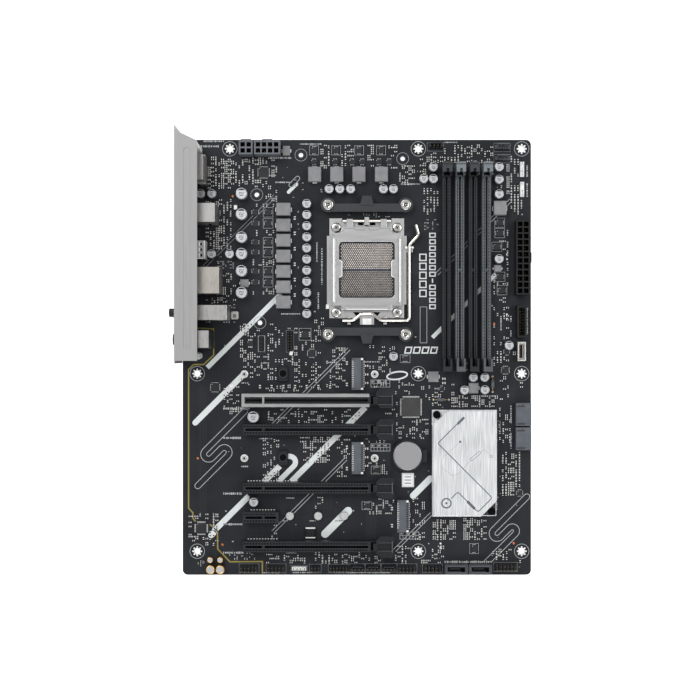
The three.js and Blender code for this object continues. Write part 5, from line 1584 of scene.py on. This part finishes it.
def studio():
    """A pale floor under the board, an even white surround and three soft lights."""
    low = cad_bounds[0]
    reach = 3.0  # metres from the middle to the floor's edge
    mesh = bpy.data.meshes.new("floor")
    corners = [(-reach, -reach), (reach, -reach), (reach, reach), (-reach, reach)]
    mesh.from_pydata([(x, y, low[2]) for x, y in corners], [], [(0, 1, 2, 3)])
    floor = bpy.data.objects.new("floor", mesh)
    finish = Finish("floor_paper", 0.9, specular=0.1)
    finish.colour(finish.noise(8), (0.86, 0.86, 0.86), (0.88, 0.88, 0.88))
    finish.shader.inputs["Emission Color"].default_value = (1, 1, 1, 1)
    finish.shader.inputs["Emission Strength"].default_value = 0.85
    mesh.materials.append(finish.material)
    bpy.context.scene.collection.objects.link(floor)
    world = bpy.data.worlds.new("studio")
    world.use_nodes = True
    world.node_tree.nodes["Background"].inputs["Color"].default_value = (1, 1, 1, 1)
    world.node_tree.nodes["Background"].inputs["Strength"].default_value = 0.55
    bpy.context.scene.world = world
    soft_box("key", (-0.7, 0.75, 1.5), 14, 0.9)
    soft_box("fill", (0.9, 0.2, 1.3), 8, 0.8)
    soft_box("rim", (0.1, -1.1, 1.2), 7, 0.8)


def soft_box(name, place, power, size):
    """A square light, in metres and watts, turned towards the board."""
    light = bpy.data.lights.new(name, "AREA")
    light.energy = power
    light.shape = "SQUARE"
    light.size = size
    lamp = bpy.data.objects.new(name, light)
    lamp.location = place
    x, y, z = place
    lamp.rotation_euler = (math.atan2(math.hypot(x, y), z), 0, math.atan2(y, x) + math.pi / 2)
    bpy.context.scene.collection.objects.link(lamp)


def camera():
    """Straight down from a metre above the board, its top edge upwards."""
    shift_x, shift_y = -4.8, 5.1  # the board lies a little off the picture's middle
    height = 1.0  # metres above the board's top face
    view = bpy.data.cameras.new("camera")
    view.sensor_width = 36
    view.lens = 73.4  # frames the board as the photo does
    rig = bpy.data.objects.new("camera", view)
    rig.location = ((BOARD_X + shift_x) * MM, (BOARD_Y + shift_y) * MM, TOP * MM + height)
    bpy.context.scene.collection.objects.link(rig)
    bpy.context.scene.camera = rig


camera()
studio()
bpy.context.scene.view_settings.view_transform = "Standard"
dress_frame()
claim_frame()
hole_pads()
printed_stripes()
printed_lines()
paper_label()
word_blocks()
traces()
chokes()
capacitors()
controllers()
power_stages()
axial_parts()
headers()
drive_socket_details()
shield_details()
bulk_ceramics()
small_parts()
vias()
reference_marks()
header_pins()
power_contacts()
memory_details()
slot_details()
contact_field()
socket_screws()
cooler_screw_recess()
plate_details()
heatsink_art()
battery_details()
upright_drive_edge_highlights()
flat_drive_marks()
port_tongues()
network_port()
audio_rings()
antenna_details()
solder_joints()
underside_print()
